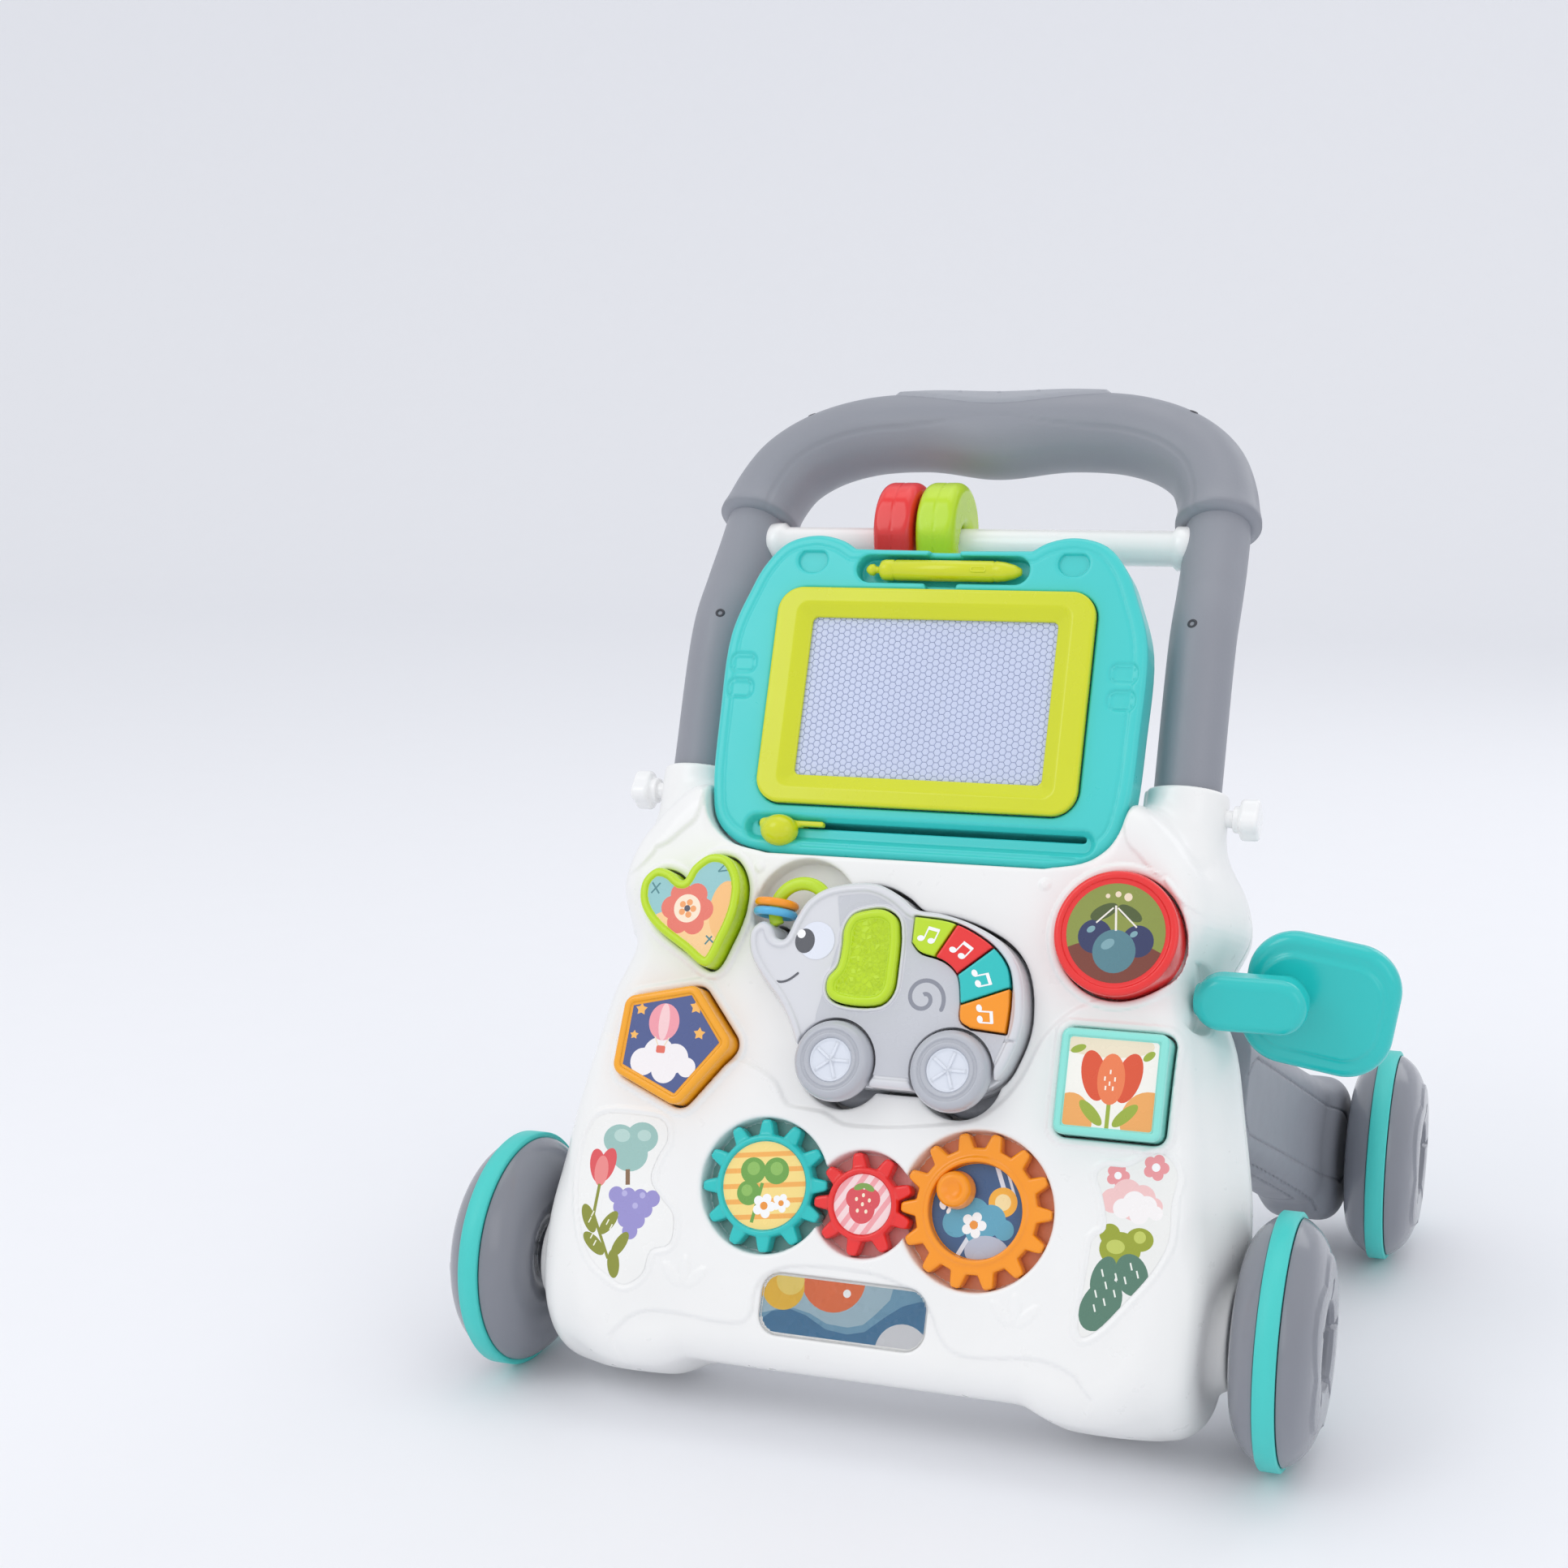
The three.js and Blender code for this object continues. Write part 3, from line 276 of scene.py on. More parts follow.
def lathe(name, profile, place, segments=72, relief=None):
    """(radius, height) points turned about the third axis; relief(radius, angle) lifts a point."""
    segments = max(12, int(segments / COARSE))
    angles = 2 * np.pi * np.arange(segments) / segments
    rings = []
    for radius, height in profile:
        lift = relief(radius, height, angles) if relief else np.zeros(segments)
        rings.append(np.stack([radius * np.cos(angles), radius * np.sin(angles), height + lift], 1))
    faces = []
    for ring in range(len(profile) - 1):
        for i in range(segments):
            a, b = ring * segments + i, ring * segments + (i + 1) % segments
            faces.append((a, b, b + segments, a + segments))
    obj = mesh_of(name, np.concatenate(rings), faces, place)
    return welded(obj)


def welded(obj):
    """Doubled points become one, and faces look outwards."""
    work = bmesh.new()
    work.from_mesh(obj.data)
    bmesh.ops.remove_doubles(work, verts=work.verts, dist=1e-6)
    bmesh.ops.recalc_face_normals(work, faces=work.faces)
    work.to_mesh(obj.data)
    work.free()
    obj.data.polygons.foreach_set("use_smooth", np.ones(len(obj.data.polygons), bool))
    return obj


def evenly(points, spacing):
    """A polyline's points, evenly spaced."""
    points = np.array(points, float)
    length = np.concatenate([[0], np.cumsum(np.linalg.norm(np.diff(points, axis=0), axis=1))])
    at = np.linspace(0, length[-1], max(2, int(length[-1] / (spacing * COARSE))))
    return np.stack([np.interp(at, length, points[:, i]) for i in range(3)], 1), at, length[-1]


def sweep(name, points, section, facing, place=WORLD, sides=48):
    """A tube along points; section(angle, place along, whole length) is its radius there.
    Angle 0 points away from the bend's inside and a quarter turn points along facing."""
    path, at, length = points
    heading = np.gradient(path, axis=0)
    heading /= np.linalg.norm(heading, axis=1)[:, None]
    out = np.cross(heading, np.array(facing))
    out /= np.linalg.norm(out, axis=1)[:, None]
    side = np.cross(out, heading)
    angles = 2 * np.pi * np.arange(sides) / sides
    rings = []
    for i in range(len(path)):
        radius = section(angles, at[i], length)
        rings.append(path[i] + radius[:, None] * (np.cos(angles)[:, None] * out[i]
                                                  + np.sin(angles)[:, None] * side[i]))
    faces = []
    for ring in range(len(path) - 1):
        for i in range(sides):
            a, b = ring * sides + i, ring * sides + (i + 1) % sides
            faces.append((a, b, b + sides, a + sides))
    last = (len(path) - 1) * sides
    faces += [tuple(range(sides)), tuple(range(last, last + sides))]
    return welded(mesh_of(name, np.concatenate(rings), faces, place))


# ---- materials ----
def linear(colour):
    parts = [int(colour[i:i + 2], 16) / 255 for i in (0, 2, 4)]
    return [p / 12.92 if p <= 0.04045 else ((p + 0.055) / 1.055) ** 2.4 for p in parts]


def noise_node(material, scale, detail=2.0):
    nodes, links = material.node_tree.nodes, material.node_tree.links
    where = nodes.new("ShaderNodeTexCoord")
    noise = nodes.new("ShaderNodeTexNoise")
    noise.inputs["Scale"].default_value = scale
    noise.inputs["Detail"].default_value = detail
    links.new(where.outputs["Object"], noise.inputs["Vector"])
    return noise


def blend_colours(material, factor, dark, light):
    nodes, links = material.node_tree.nodes, material.node_tree.links
    mix = nodes.new("ShaderNodeMix")
    mix.data_type = "RGBA"
    mix.inputs["A"].default_value = (*dark, 1)
    mix.inputs["B"].default_value = (*light, 1)
    links.new(factor, mix.inputs["Factor"])
    return mix.outputs["Result"]


def spread(material, factor, low, high):
    nodes, links = material.node_tree.nodes, material.node_tree.links
    span = nodes.new("ShaderNodeMapRange")
    span.inputs["To Min"].default_value = low
    span.inputs["To Max"].default_value = high
    links.new(factor, span.inputs["Value"])
    return span.outputs["Result"]


def bumped(material, height, strength, distance):
    nodes, links = material.node_tree.nodes, material.node_tree.links
    bump = nodes.new("ShaderNodeBump")
    bump.inputs["Strength"].default_value = strength
    bump.inputs["Distance"].default_value = distance
    links.new(height, bump.inputs["Height"])
    links.new(bump.outputs["Normal"], nodes["Principled BSDF"].inputs["Normal"])
    return bump


MADE = {}


def plastic(colour, rough=0.3, grain=0.12, grain_size=700, coat=0.0, variation=0.035):
    """Moulded plastic: cloudy colour, patchy gloss and a fine moulded grain."""
    key = f"{colour}_{rough}_{grain}_{coat}_{grain_size}"
    if key in MADE:
        return MADE[key]
    material = bpy.data.materials.new("plastic_" + key)
    material.use_nodes = True
    links = material.node_tree.links
    shader = material.node_tree.nodes["Principled BSDF"]
    base = np.array(linear(colour))
    cloud = noise_node(material, 22, 3)
    tint = blend_colours(material, cloud.outputs["Fac"], base * (1 - variation),
                         np.minimum(base * (1 + variation), 1))
    links.new(tint, shader.inputs["Base Color"])
    patch = noise_node(material, 90, 4)
    links.new(spread(material, patch.outputs["Fac"], rough * 0.75, rough * 1.25), shader.inputs["Roughness"])
    fine = noise_node(material, grain_size, 5)
    bumped(material, fine.outputs["Fac"], grain, 0.0002)
    shader.inputs["Coat Weight"].default_value = coat
    shader.inputs["Coat Roughness"].default_value = 0.08
    MADE[key] = material
    return material


def metal(colour, rough):
    material = plastic(colour, rough, grain=0.25, grain_size=1600)
    material.node_tree.nodes["Principled BSDF"].inputs["Metallic"].default_value = 1
    return material


def clear():
    """Clear window plastic with faint haze."""
    material = plastic("FFFFFE", 0.04, grain=0.03)
    shader = material.node_tree.nodes["Principled BSDF"]
    shader.inputs["Transmission Weight"].default_value = 1
    shader.inputs["IOR"].default_value = 1.12
    return material


def pebbled(colour):
    """The ear button's field: shallow pebbles between fine furrows."""
    material = plastic(colour, 0.34, grain=0.1, grain_size=701)
    nodes, links = material.node_tree.nodes, material.node_tree.links
    where = nodes.new("ShaderNodeTexCoord")
    cells = nodes.new("ShaderNodeTexVoronoi")
    cells.feature = "DISTANCE_TO_EDGE"
    cells.inputs["Scale"].default_value = 420
    links.new(where.outputs["Object"], cells.inputs["Vector"])
    furrow = spread(material, cells.outputs["Distance"], 0, 6)
    bumped(material, furrow, 0.7, 0.0004)
    return material


WHITE = plastic("F4F4F3", 0.3, grain=0.05, coat=0.15)
BAR_WHITE = plastic("F6F6F6", 0.25, grain=0.04, coat=0.3)
GREY = plastic("8F929B", 0.42, grain=0.35, grain_size=900)
WHEEL_GREY = plastic("83868F", 0.24, grain=0.06, coat=0.3)
PAD_GREY = plastic("A4A7AF", 0.55, grain=0.5, grain_size=901)
TEAL = plastic("21C5C3", 0.24, grain=0.06, coat=0.25)
BOARD_TEAL = plastic("42D0CE", 0.3, grain=0.08, coat=0.1)
LIME = plastic("D3DA16", 0.26, grain=0.05, coat=0.2)
EAR_LIME = plastic("BFE01C", 0.26, grain=0.05, coat=0.2)
RED = plastic("EE2A2A", 0.24, grain=0.05, coat=0.25)
ORANGE = plastic("FF9A12", 0.24, grain=0.05, coat=0.25)
AMBER = plastic("F8A91A", 0.24, grain=0.05, coat=0.25)
MINT = plastic("8FE6DA", 0.24, grain=0.05, coat=0.25)
BLUE = plastic("56B4E2", 0.24, grain=0.05, coat=0.25)
TOY_WHITE = plastic("DCDDE2", 0.22, grain=0.04, coat=0.35)
TOY_GREY = plastic("C3C5CB", 0.3, grain=0.05, coat=0.1)
TOY_TYRE = plastic("B9BCC4", 0.26, grain=0.05, coat=0.3)
TOY_HUB = plastic("E2E7F1", 0.25, coat=0.3)
TYRE = plastic("46CFC9", 0.45, grain=0.3, grain_size=902)
DARK = plastic("3C3D44", 0.5, grain=0.1)
STEEL = metal("C2C5C9", 0.25)
MIRROR = metal("EEF1F4", 0.03)
CIRCUIT = plastic("2F7D3A", 0.45, grain=0.3)


def put(obj, material, body, nodes=()):
    """A finished piece: its material, the body it rides on and the CAD nodes it stands for."""
    if material is not None:
        obj.data.materials.append(material)
    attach(obj, body)
    if nodes:
        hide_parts(*([nodes] if isinstance(nodes, str) else nodes))
    return obj


# ---- outlines in the panel's face ----
BODY_SIDE = curve_through([(86, 40), (104, 35), (130, 36), (148, 48), (157, 68), (163, 95), (165, 120),
                           (164, 139), (157, 177), (151, 205), (142, 229), (146, 239), (153, 256), (151, 270),
                           (146, 281), (139, 290), (133, 297), (122, 306.5), (112, 309), (104, 304)], 5)
BODY_HALF = [(0, 40), *BODY_SIDE, (101, 297), (100, 291), (96, 288), (0, 288)]
BODY = BODY_HALF + mirrored(BODY_HALF[1:-1])

BOARD_HALF = [(0, 275.5), *curve_through([(66, 275.5), (85, 280), (96, 290), (100, 306), (101.5, 340),
                                          (101, 380), (94, 402), (88, 415), (78, 426), (63, 430), (50, 427.5),
                                          (43, 423.5)], 6), (0, 423)]
BOARD = BOARD_HALF + mirrored(BOARD_HALF[1:-1])

ELEPHANT = curve_through([(-58, 240.5), (-63.5, 236), (-63, 227), (-57, 217), (-46, 205), (-40, 196),
                          (-35, 186), (-28, 176), (-14, 171), (3, 170), (21, 170), (44, 170.5), (58, 178),
                          (64, 189), (67.5, 205), (64, 226), (56, 237), (41, 245), (26, 249), (13, 250.5),
                          (5, 256), (-6, 260.5), (-19, 260), (-30, 257), (-38, 251), (-43, 242), (-47, 233),
                          (-51, 233.5), (-54, 238.5)], 6, closed=True)
EAR = curve_through([(-9, 247.5), (0, 248.5), (6, 245), (8, 238), (8.5, 224), (7.5, 212), (2.5, 206.5),
                     (-17, 206), (-22, 209.5), (-22.5, 216), (-18.5, 222), (-17.5, 231), (-17.5, 239),
                     (-14.5, 245)], 6, closed=True)
HEART = curve_through([(-84, 218), (-77, 231), (-72.5, 247), (-73.5, 260), (-80, 269), (-89, 270), (-97, 264),
                       (-101, 257), (-108, 261), (-115, 262), (-121, 256), (-121, 246), (-114, 236),
                       (-97, 225)], 6, closed=True)
PENTAGON = [(-122, 201), (-87, 209.5), (-66.5, 184), (-90, 153), (-124, 167)]

# The line where the raised gear area steps down to the toy's bay, and the one above the low sill.
BAY_EDGE = [(-72.5, 175), (-66, 177.6), (-56, 174.4), (-46.7, 169), (-40, 159.6), (-31, 158.4), (-21.6, 157.3),
            (-12.6, 153.2), (5, 153.4), (17.4, 154.7), (32, 157), (46.5, 160), (54, 164.6), (62, 173),
            (67.7, 182), (70.4, 188.6), (74, 197.6), (79.7, 205.7), (87.8, 213), (94, 216), (98, 218)]
SILL_EDGE = [(-104, 57), (-96, 61), (-82, 62), (-60, 60.5), (-48, 62), (-44.7, 67), (-44.7, 74), (-41.5, 82),
             (-32.7, 87.4), (-18, 89.6), (-2.5, 90), (13, 89), (27, 85), (34, 81), (39, 74), (42, 68), (46.6, 62.5),
             (53.7, 59.7), (66, 60), (82, 62), (91, 61.7), (98.7, 59.6), (104, 57)]
GEAR_AREA = curve_through(BAY_EDGE, 3) + [(104, 300), (200, 300), (200, 0), (-200, 0), (-200, 190), (-98, 180)]
SILL = curve_through(SILL_EDGE, 4) + [(112, 48), (100, 20), (-100, 20), (-112, 48)]
PETAL_LOW = curve_through([(101, 297), (103, 288), (108, 283), (117, 275), (126, 273.5), (142, 284), (139, 292),
                           (133, 299), (122, 308), (112, 311), (104, 306)], 4, closed=True)
PETAL_HIGH = curve_through([(121, 274), (124, 268), (129, 263), (138, 259), (149, 258), (153, 270), (147, 283),
                            (139, 290)], 4, closed=True)
LEFT_STICKER = curve_through([(-130, 146), (-113, 148), (-98, 146), (-95.5, 138), (-99, 130), (-101, 119.5),
                              (-94, 111), (-88, 105), (-88, 92), (-96.6, 88), (-99.5, 77), (-107.5, 71.5),
                              (-114.5, 74), (-126, 82), (-134, 100), (-137, 122), (-135, 138)], 4, closed=True)
RIGHT_STICKER = curve_through([(126, 152), (132, 154), (139, 147), (138, 133.5), (138, 117), (132, 103.5),
                               (122, 90), (111, 77), (105, 74), (103, 82.5), (104, 93), (105, 106), (106, 115),
                               (111, 120), (108, 134.5), (105, 142), (108, 146), (118, 147)], 4, closed=True)

# ---- shape blocks and gears, as flat fields ----
BLOCK_FRONT = 9.0
BLOCK_BACK = -13.7


def heart_flat(x, s):
    return polygon(x, s, HEART)


def pentagon_flat(x, s, round_by=6.0):
    middle = np.mean(PENTAGON, axis=0)
    pulled = [tuple(np.array(p) - (np.array(p) - middle) / np.hypot(*(np.array(p) - middle)) * round_by * 1.24)
              for p in PENTAGON]
    return polygon(x, s, pulled) - round_by


def round_flat(x, s):
    return circle(x, s, 104, 246, 27.5)


def square_flat(x, s):
    return rectangle(x, s, 108.5, 181, 47, 46, 4)


BLOCKS = {"heart_block": (heart_flat, (-97.5, 244), 28, EAR_LIME, "lime_plastic"),
          "pentagon_block": (pentagon_flat, (-96, 182), 34, AMBER, "amber_plastic"),
          "round_block": (round_flat, (104, 246), 30, RED, "red_plastic"),
          "square_block": (square_flat, (108.5, 181), 27, MINT, "mint_plastic")}

GEAR_MODULE = 4.5
GEARS = {name: (to_panel(JOINTS[name + "_gear_spin"]["pos_m"]), teeth, disc, material)
         for name, teeth, disc, material in (("red", 9, 13.6, RED), ("teal", 12, 20, TEAL),
                                             ("orange", 14, 21, ORANGE))}


def heading(a, b):
    return math.atan2(b.y - a.y, b.x - a.x)


def gear_phases():
    """The direction of one tooth of each gear, so that the teeth lie in mesh."""
    red, teal, orange = (GEARS[name][0] for name in ("red", "teal", "orange"))
    pitch = 2 * math.pi / 9
    first = heading(orange, red)
    red_phase = first + math.pi + pitch / 2
    to_teal = heading(red, teal)
    offset = math.fmod(red_phase - to_teal, pitch)
    return {"orange": first, "red": red_phase,
            "teal": to_teal + math.pi - offset * 9 / 12 + math.pi / 12}


PHASES = gear_phases()


def gear_outline(name):
    centre, teeth = GEARS[name][:2]
    pitch, middle = 2 * math.pi / teeth, teeth * GEAR_MODULE / 2
    tip, root = middle + 0.6 * GEAR_MODULE, middle - 0.85 * GEAR_MODULE
    rim = [(root, -0.30), (middle, -0.20), (tip - 0.8, -0.15), (tip, -0.09), (tip, 0.09), (tip - 0.8, 0.15),
           (middle, 0.20), (root, 0.30)]
    points = []
    for tooth in range(teeth):
        for radius, share in rim:
            angle = PHASES[name] + (tooth + share) * pitch
            points.append((centre.x + radius * math.cos(angle), centre.y + radius * math.sin(angle)))
    return points


def toy_flat(x, s):
    return polygon(x, s, ELEPHANT)


TOY_AXLES = [to_panel(JOINTS[f"toy_{end}_wheels_spin"]["pos_m"]) for end in ("front", "rear")]
TOY_WHEEL_RADIUS = 18.0


# ---- the body ----
BODY_BACK = -77.0
PARTING = -52.15
WELL_DEPTH = -10.0
SHARES = np.array(curve_through([(-78, .905, .945, .925), (-72, .965, .975, .97), (-52, 1, 1, 1),
                                 (-32, .968, .997, .998), (-14, .915, .988, .985), (-4, .893, .981, .962),
                                 (3, .885, .975, .945)], 6))
TAPER_CENTRE = 170.0
FRONT_AXLE = to_panel(JOINTS["front_right_wheel_spin"]["pos_m"])
TUBE_X, TUBE_DEPTH = 119.5, -42.0


def read_between(grid, low, step, x, y):
    """A flat grid of samples read at any points."""
    u = np.clip((x - low[0]) / step, 0, grid.shape[0] - 1.01)
    v = np.clip((y - low[1]) / step, 0, grid.shape[1] - 1.01)
    i, j = u.astype(np.int32), v.astype(np.int32)
    u, v = u - i, v - j
    return (grid[i, j] * (1 - u) + grid[i + 1, j] * u) * (1 - v) + (grid[i, j + 1] * (1 - u)
                                                                    + grid[i + 1, j + 1] * u) * v


def body_side(x, s, w):
    """The outline, drawn in towards the front and the back."""
    step = 1.0
    gx = np.arange(-215, 216, step, dtype=np.float32)[:, None]
    gs = np.arange(0, 360, step, dtype=np.float32)[None, :]
    grid = polygon(gx, gs, BODY).astype(np.float32)
    wide, above, below = [np.interp(w.ravel(), SHARES[:, 0], SHARES[:, i]).astype(np.float32)[None, None, :]
                          for i in (1, 2, 3)]
    rise = s - TAPER_CENTRE
    stretched = TAPER_CENTRE + rise / np.where(rise > 0, above, below)
    return read_between(grid, (-215, 0), step, x / wide, stretched)


def leaf_emblem(x, s, cx, cs):
    petals = [ellipse(x, s, cx + 9 * math.sin(a), cs + 9 * math.cos(a) - 4, 2.3, 6.5, -a) for a in (-0.75, 0, 0.75)]
    return np.minimum(np.minimum(petals[0], petals[1]), petals[2])


def face_height(x, s):
    """How high the body's front stands: steps, rims, petals and sticker seats."""
    flat = np.broadcast_to(np.float32(0), np.broadcast(x, s).shape)
    gear_area = ramp(-polygon(x, s, GEAR_AREA), -1.3, 1.3) * (1 - ramp(s + flat, 208, 232))
    height = -1.5 + 1.5 * gear_area
    height = height - 1.3 * ramp(-polygon(x, s, SILL), -1, 1)
    for shape, _, _, _, _ in BLOCKS.values():
        height = height + 1.1 * ramp(5.4 - shape(x, s), 0, 1.4)
    across = np.abs(x)
    petal = np.minimum(polygon(across, s, PETAL_LOW), polygon(across, s, PETAL_HIGH))
    height = height + 1.3 * ramp(-petal, -0.9, 0.9)
    for cx, cs in ((-79, 76), (75, 77)):
        height = height + 0.45 * ramp(-leaf_emblem(x, s, cx, cs), -0.5, 0.5)
    for sticker in (LEFT_STICKER, RIGHT_STICKER):
        edge = np.abs(polygon(x, s, sticker) - 2.2) - 0.9
        height = height + 0.5 * ramp(-edge, -0.6, 0.6)
    return height + 0.6 * ramp(-circle(across, s, 68, 267, 2.3), -0.5, 0.5)


def toy_recess(x, s, w):
    recess = np.maximum(toy_flat(x, s) - 1.5, -33 - w)
    for axle in TOY_AXLES:
        wheel = np.maximum(circle(x, s, axle.x, axle.y, TOY_WHEEL_RADIUS + 2.2), -33 - w)
        recess = np.minimum(recess, wheel)
    hoop = np.maximum(circle(x, s, -43, 247, 25), -12 - w)
    return smooth_min(recess, hoop, 1)


def body_pockets(x, s, w):
    pockets = toy_recess(x, s, w)
    for shape, _, _, _, _ in BLOCKS.values():
        pockets = np.minimum(pockets, np.maximum(shape(x, s) - 1.0, BLOCK_BACK - 0.4 - w))
    for centre, teeth, _, _ in GEARS.values():
        well = circle(x, s, centre.x, centre.y, teeth * GEAR_MODULE / 2 + 3.6)
        pockets = np.minimum(pockets, np.maximum(well + 0.1 * (-w), WELL_DEPTH - w))
    pockets = np.minimum(pockets, np.maximum(rectangle(x, s, -3, 71.5, 77, 27, 9), -3.5 - w))
    board = np.maximum(polygon(x, s, BOARD) - 1.2, -35.5 - w)
    return np.minimum(pockets, board)


def body_solid(x, s, w):
    body = smooth_max(body_side(x, s, w), BODY_BACK - w, 8)
    across = np.abs(x)
    reach = np.hypot(s - FRONT_AXLE.y, w - FRONT_AXLE.z)
    body = smooth_min(body, slab(reach - 46, across, 86, 152.5, 12), 18)
    boss = smooth_max(reach - 31 + 0.3 * (across - 140), across - 163, 1.5)
    body = smooth_min(body, np.maximum(boss, 120 - across), 5)
    body = smooth_max(body, w - face_height(x, s), 13)
    sleeve = smooth_max(circle(across, w, TUBE_X, TUBE_DEPTH, 19.5), s - 320, 2.5)
    body = smooth_min(body, np.maximum(sleeve, 240 - s), 9)
    bore = np.maximum(circle(across, w, TUBE_X, TUBE_DEPTH, 16.3), 300 - s)
    body = smooth_max(body, -body_pockets(x, s, w), 1.8)
    body = smooth_max(body, -mirror_notch(x, s, w), 2)
    return smooth_max(body, -bore, 1)


def face_level(low, high):
    """A reader of how high the body's front stands over part of the panel."""
    gx, gs, gw = [np.arange(a, b, 1.0, dtype=np.float32) for a, b in (*zip(low, high), (-16, 3))]
    solid = body_solid(gx[:, None, None], gs[None, :, None], gw[None, None, :])
    solid = np.broadcast_to(solid, (len(gx), len(gs), len(gw)))
    top = np.clip(len(gw) - 1 - np.argmax((solid < 0)[:, :, ::-1], axis=2), 0, len(gw) - 2)
    below = np.take_along_axis(solid, top[:, :, None], 2)[:, :, 0]
    above = np.take_along_axis(solid, top[:, :, None] + 1, 2)[:, :, 0]
    level = gw[top] + below / np.minimum(below - above, -1e-6)
    return lambda x, s: read_between(level, low, 1.0, x, s)


def mirror_notch(x, s, w):
    """Room in the body's side for the mirror's arm to swing in."""
    y = FOOT.y / MM + UP.y * s + NORMAL.y * w
    z = UP.z * s + NORMAL.z * w
    swing = np.hypot(y - MIRROR_PIVOT.y, z - MIRROR_PIVOT.z) - 15.6
    return np.maximum(swing, 135 - x)


SCREW_SEATS = [(100, 92), (-100, 92), (0, 60), (0, 262), (96, 250), (-96, 250), (70, 160), (-70, 160)]


def rear_details(x, s, w):
    """Screw seats and a thin groove framing a panel, both cut into the back."""
    seats = None
    for cx, cs in SCREW_SEATS:
        seat = np.maximum(circle(x, s, cx, cs, 5.2), w - BODY_BACK - 7)
        seats = seat if seats is None else np.minimum(seats, seat)
    frame_line = np.maximum(np.abs(rectangle(x, s, 0, 165, 150, 150, 22)) - 0.9, w - BODY_BACK - 1.1)
    return np.minimum(seats, frame_line)


def make_body():
    block = Block((-168, 33, -79), (168, 322, 4), 1.0)
    x, s, w = block.x, block.y, block.z
    solid = body_solid(x, s, w)
    front = skin("front_shell_skin", block, smooth_max(solid, PARTING + 0.25 - w, 1.3))
    put(front, WHITE, "body", "front_shell")
    rear = smooth_max(solid, w - PARTING + 0.25, 1.3)
    rear = smooth_max(rear, -rear_details(x, s, w), 1)
    rear_obj = skin("rear_shell_skin", block, rear)
    put(rear_obj, WHITE, "body", "rear_shell")


def make_body_screws():
    """Cross-head screws in the seats on the body's back."""
    profile = [(0, 0), (1.2, 0.2), (3.2, 0.2), (3.7, -0.2), (3.7, -2)]
    for i, (cx, cs) in enumerate(SCREW_SEATS):
        place = on_panel(cx, cs, BODY_BACK + 5.5) @ Matrix.Rotation(math.pi, 4, "X")
        screw = lathe(f"body_screw_{i + 1}", profile, place, 40, cross_recess)
        put(screw, STEEL, "body")


def cross_recess(radius, height, angles):
    cross = np.abs(np.sin(2 * angles)) < 0.35
    return np.where(cross & (radius < 2.6), -0.5, 0)


# ---- shape blocks ----
def make_blocks():
    for name, (shape, (cx, cs), reach, material, slot) in BLOCKS.items():
        block = Block((cx - reach, cs - reach, -15), (cx + reach, cs + reach, 10), 0.6)
        flat = shape(block.x, block.y)
        outer = slab(flat, block.z, BLOCK_BACK, BLOCK_FRONT, 1.9)
        dish = np.maximum(flat + 3.6, BLOCK_FRONT - 1.1 - block.z)
        hollow = np.maximum(flat + 2.6, block.z - (BLOCK_FRONT - 3.5))
        field = smooth_max(smooth_max(outer, -dish, 0.8), -hollow, 0.8)
        put(skin(name + "_skin", block, field), material, name, name)


# ---- gears ----
def make_gears():
    for name, (centre, teeth, disc, material) in GEARS.items():
        reach = teeth * GEAR_MODULE / 2 + 4
        block = Block((centre.x - reach, centre.y - reach, -10.5), (centre.x + reach, centre.y + reach, 1.5), 0.6)
        x, s, w = block.x, block.y, block.z
        field = slab(polygon(x, s, gear_outline(name)), w, -9.2, -0.5, 1.5)
        rim = slab(np.abs(circle(x, s, centre.x, centre.y, disc + 1.2)) - 1.2, w, -6, 0.4, 0.8)
        field = smooth_min(field, rim, 1.2)
        floor = -4.6 if name == "orange" else -1.0
        dish = np.maximum(circle(x, s, centre.x, centre.y, disc), floor - w)
        field = smooth_max(field, -dish, 0.8)
        bore = np.maximum(circle(x, s, centre.x, centre.y, 4.3), w + 5.5)
        piece = skin(f"gear_{name}_skin", block, smooth_max(field, -bore, 0.6))
        put(piece, material, f"{name}_gear", f"gear_{name}")
    make_bead()


def make_bead():
    """The stud that a finger turns the orange gear by, dimpled on top."""
    centre = GEARS["orange"][0]
    profile = [(0, 3.6), (2.5, 3.9), (4.4, 5.2), (5.3, 5.7), (6.4, 5.3), (7.6, 3.6), (8, 1), (8, -4.2), (0, -4.2)]
    place = on_panel(centre.x - 9.7, centre.y + 8.2)
    bead = lathe("finger_bead_skin", curve_through(profile, 4), place, 64)
    put(bead, ORANGE, "orange_gear", "finger_bead")


# ---- the elephant toy ----
TOY_FACE, TOY_JOINT, TOY_BACK = 12.0, -10.0, -29.0
KEY_OUTER = curve_through([(14, 247), (31, 245.5), (43, 241), (53, 234.5), (59.5, 226), (61.5, 213), (61.5, 205),
                           (61, 198)], 6)
KEY_INNER = curve_through([(14, 235), (18, 231), (26, 229), (31, 227), (36.5, 222), (39, 211), (40, 202),
                           (45, 199)], 6)
KEYS = [("lime", EAR_LIME), ("red", RED), ("teal", TEAL), ("orange", ORANGE)]


def even_flat(points, count):
    points = np.array(points)
    length = np.concatenate([[0], np.cumsum(np.hypot(*np.diff(points, axis=0).T))])
    at = np.linspace(0, length[-1], count)
    return [tuple(p) for p in np.stack([np.interp(at, length, points[:, i]) for i in (0, 1)], 1)]


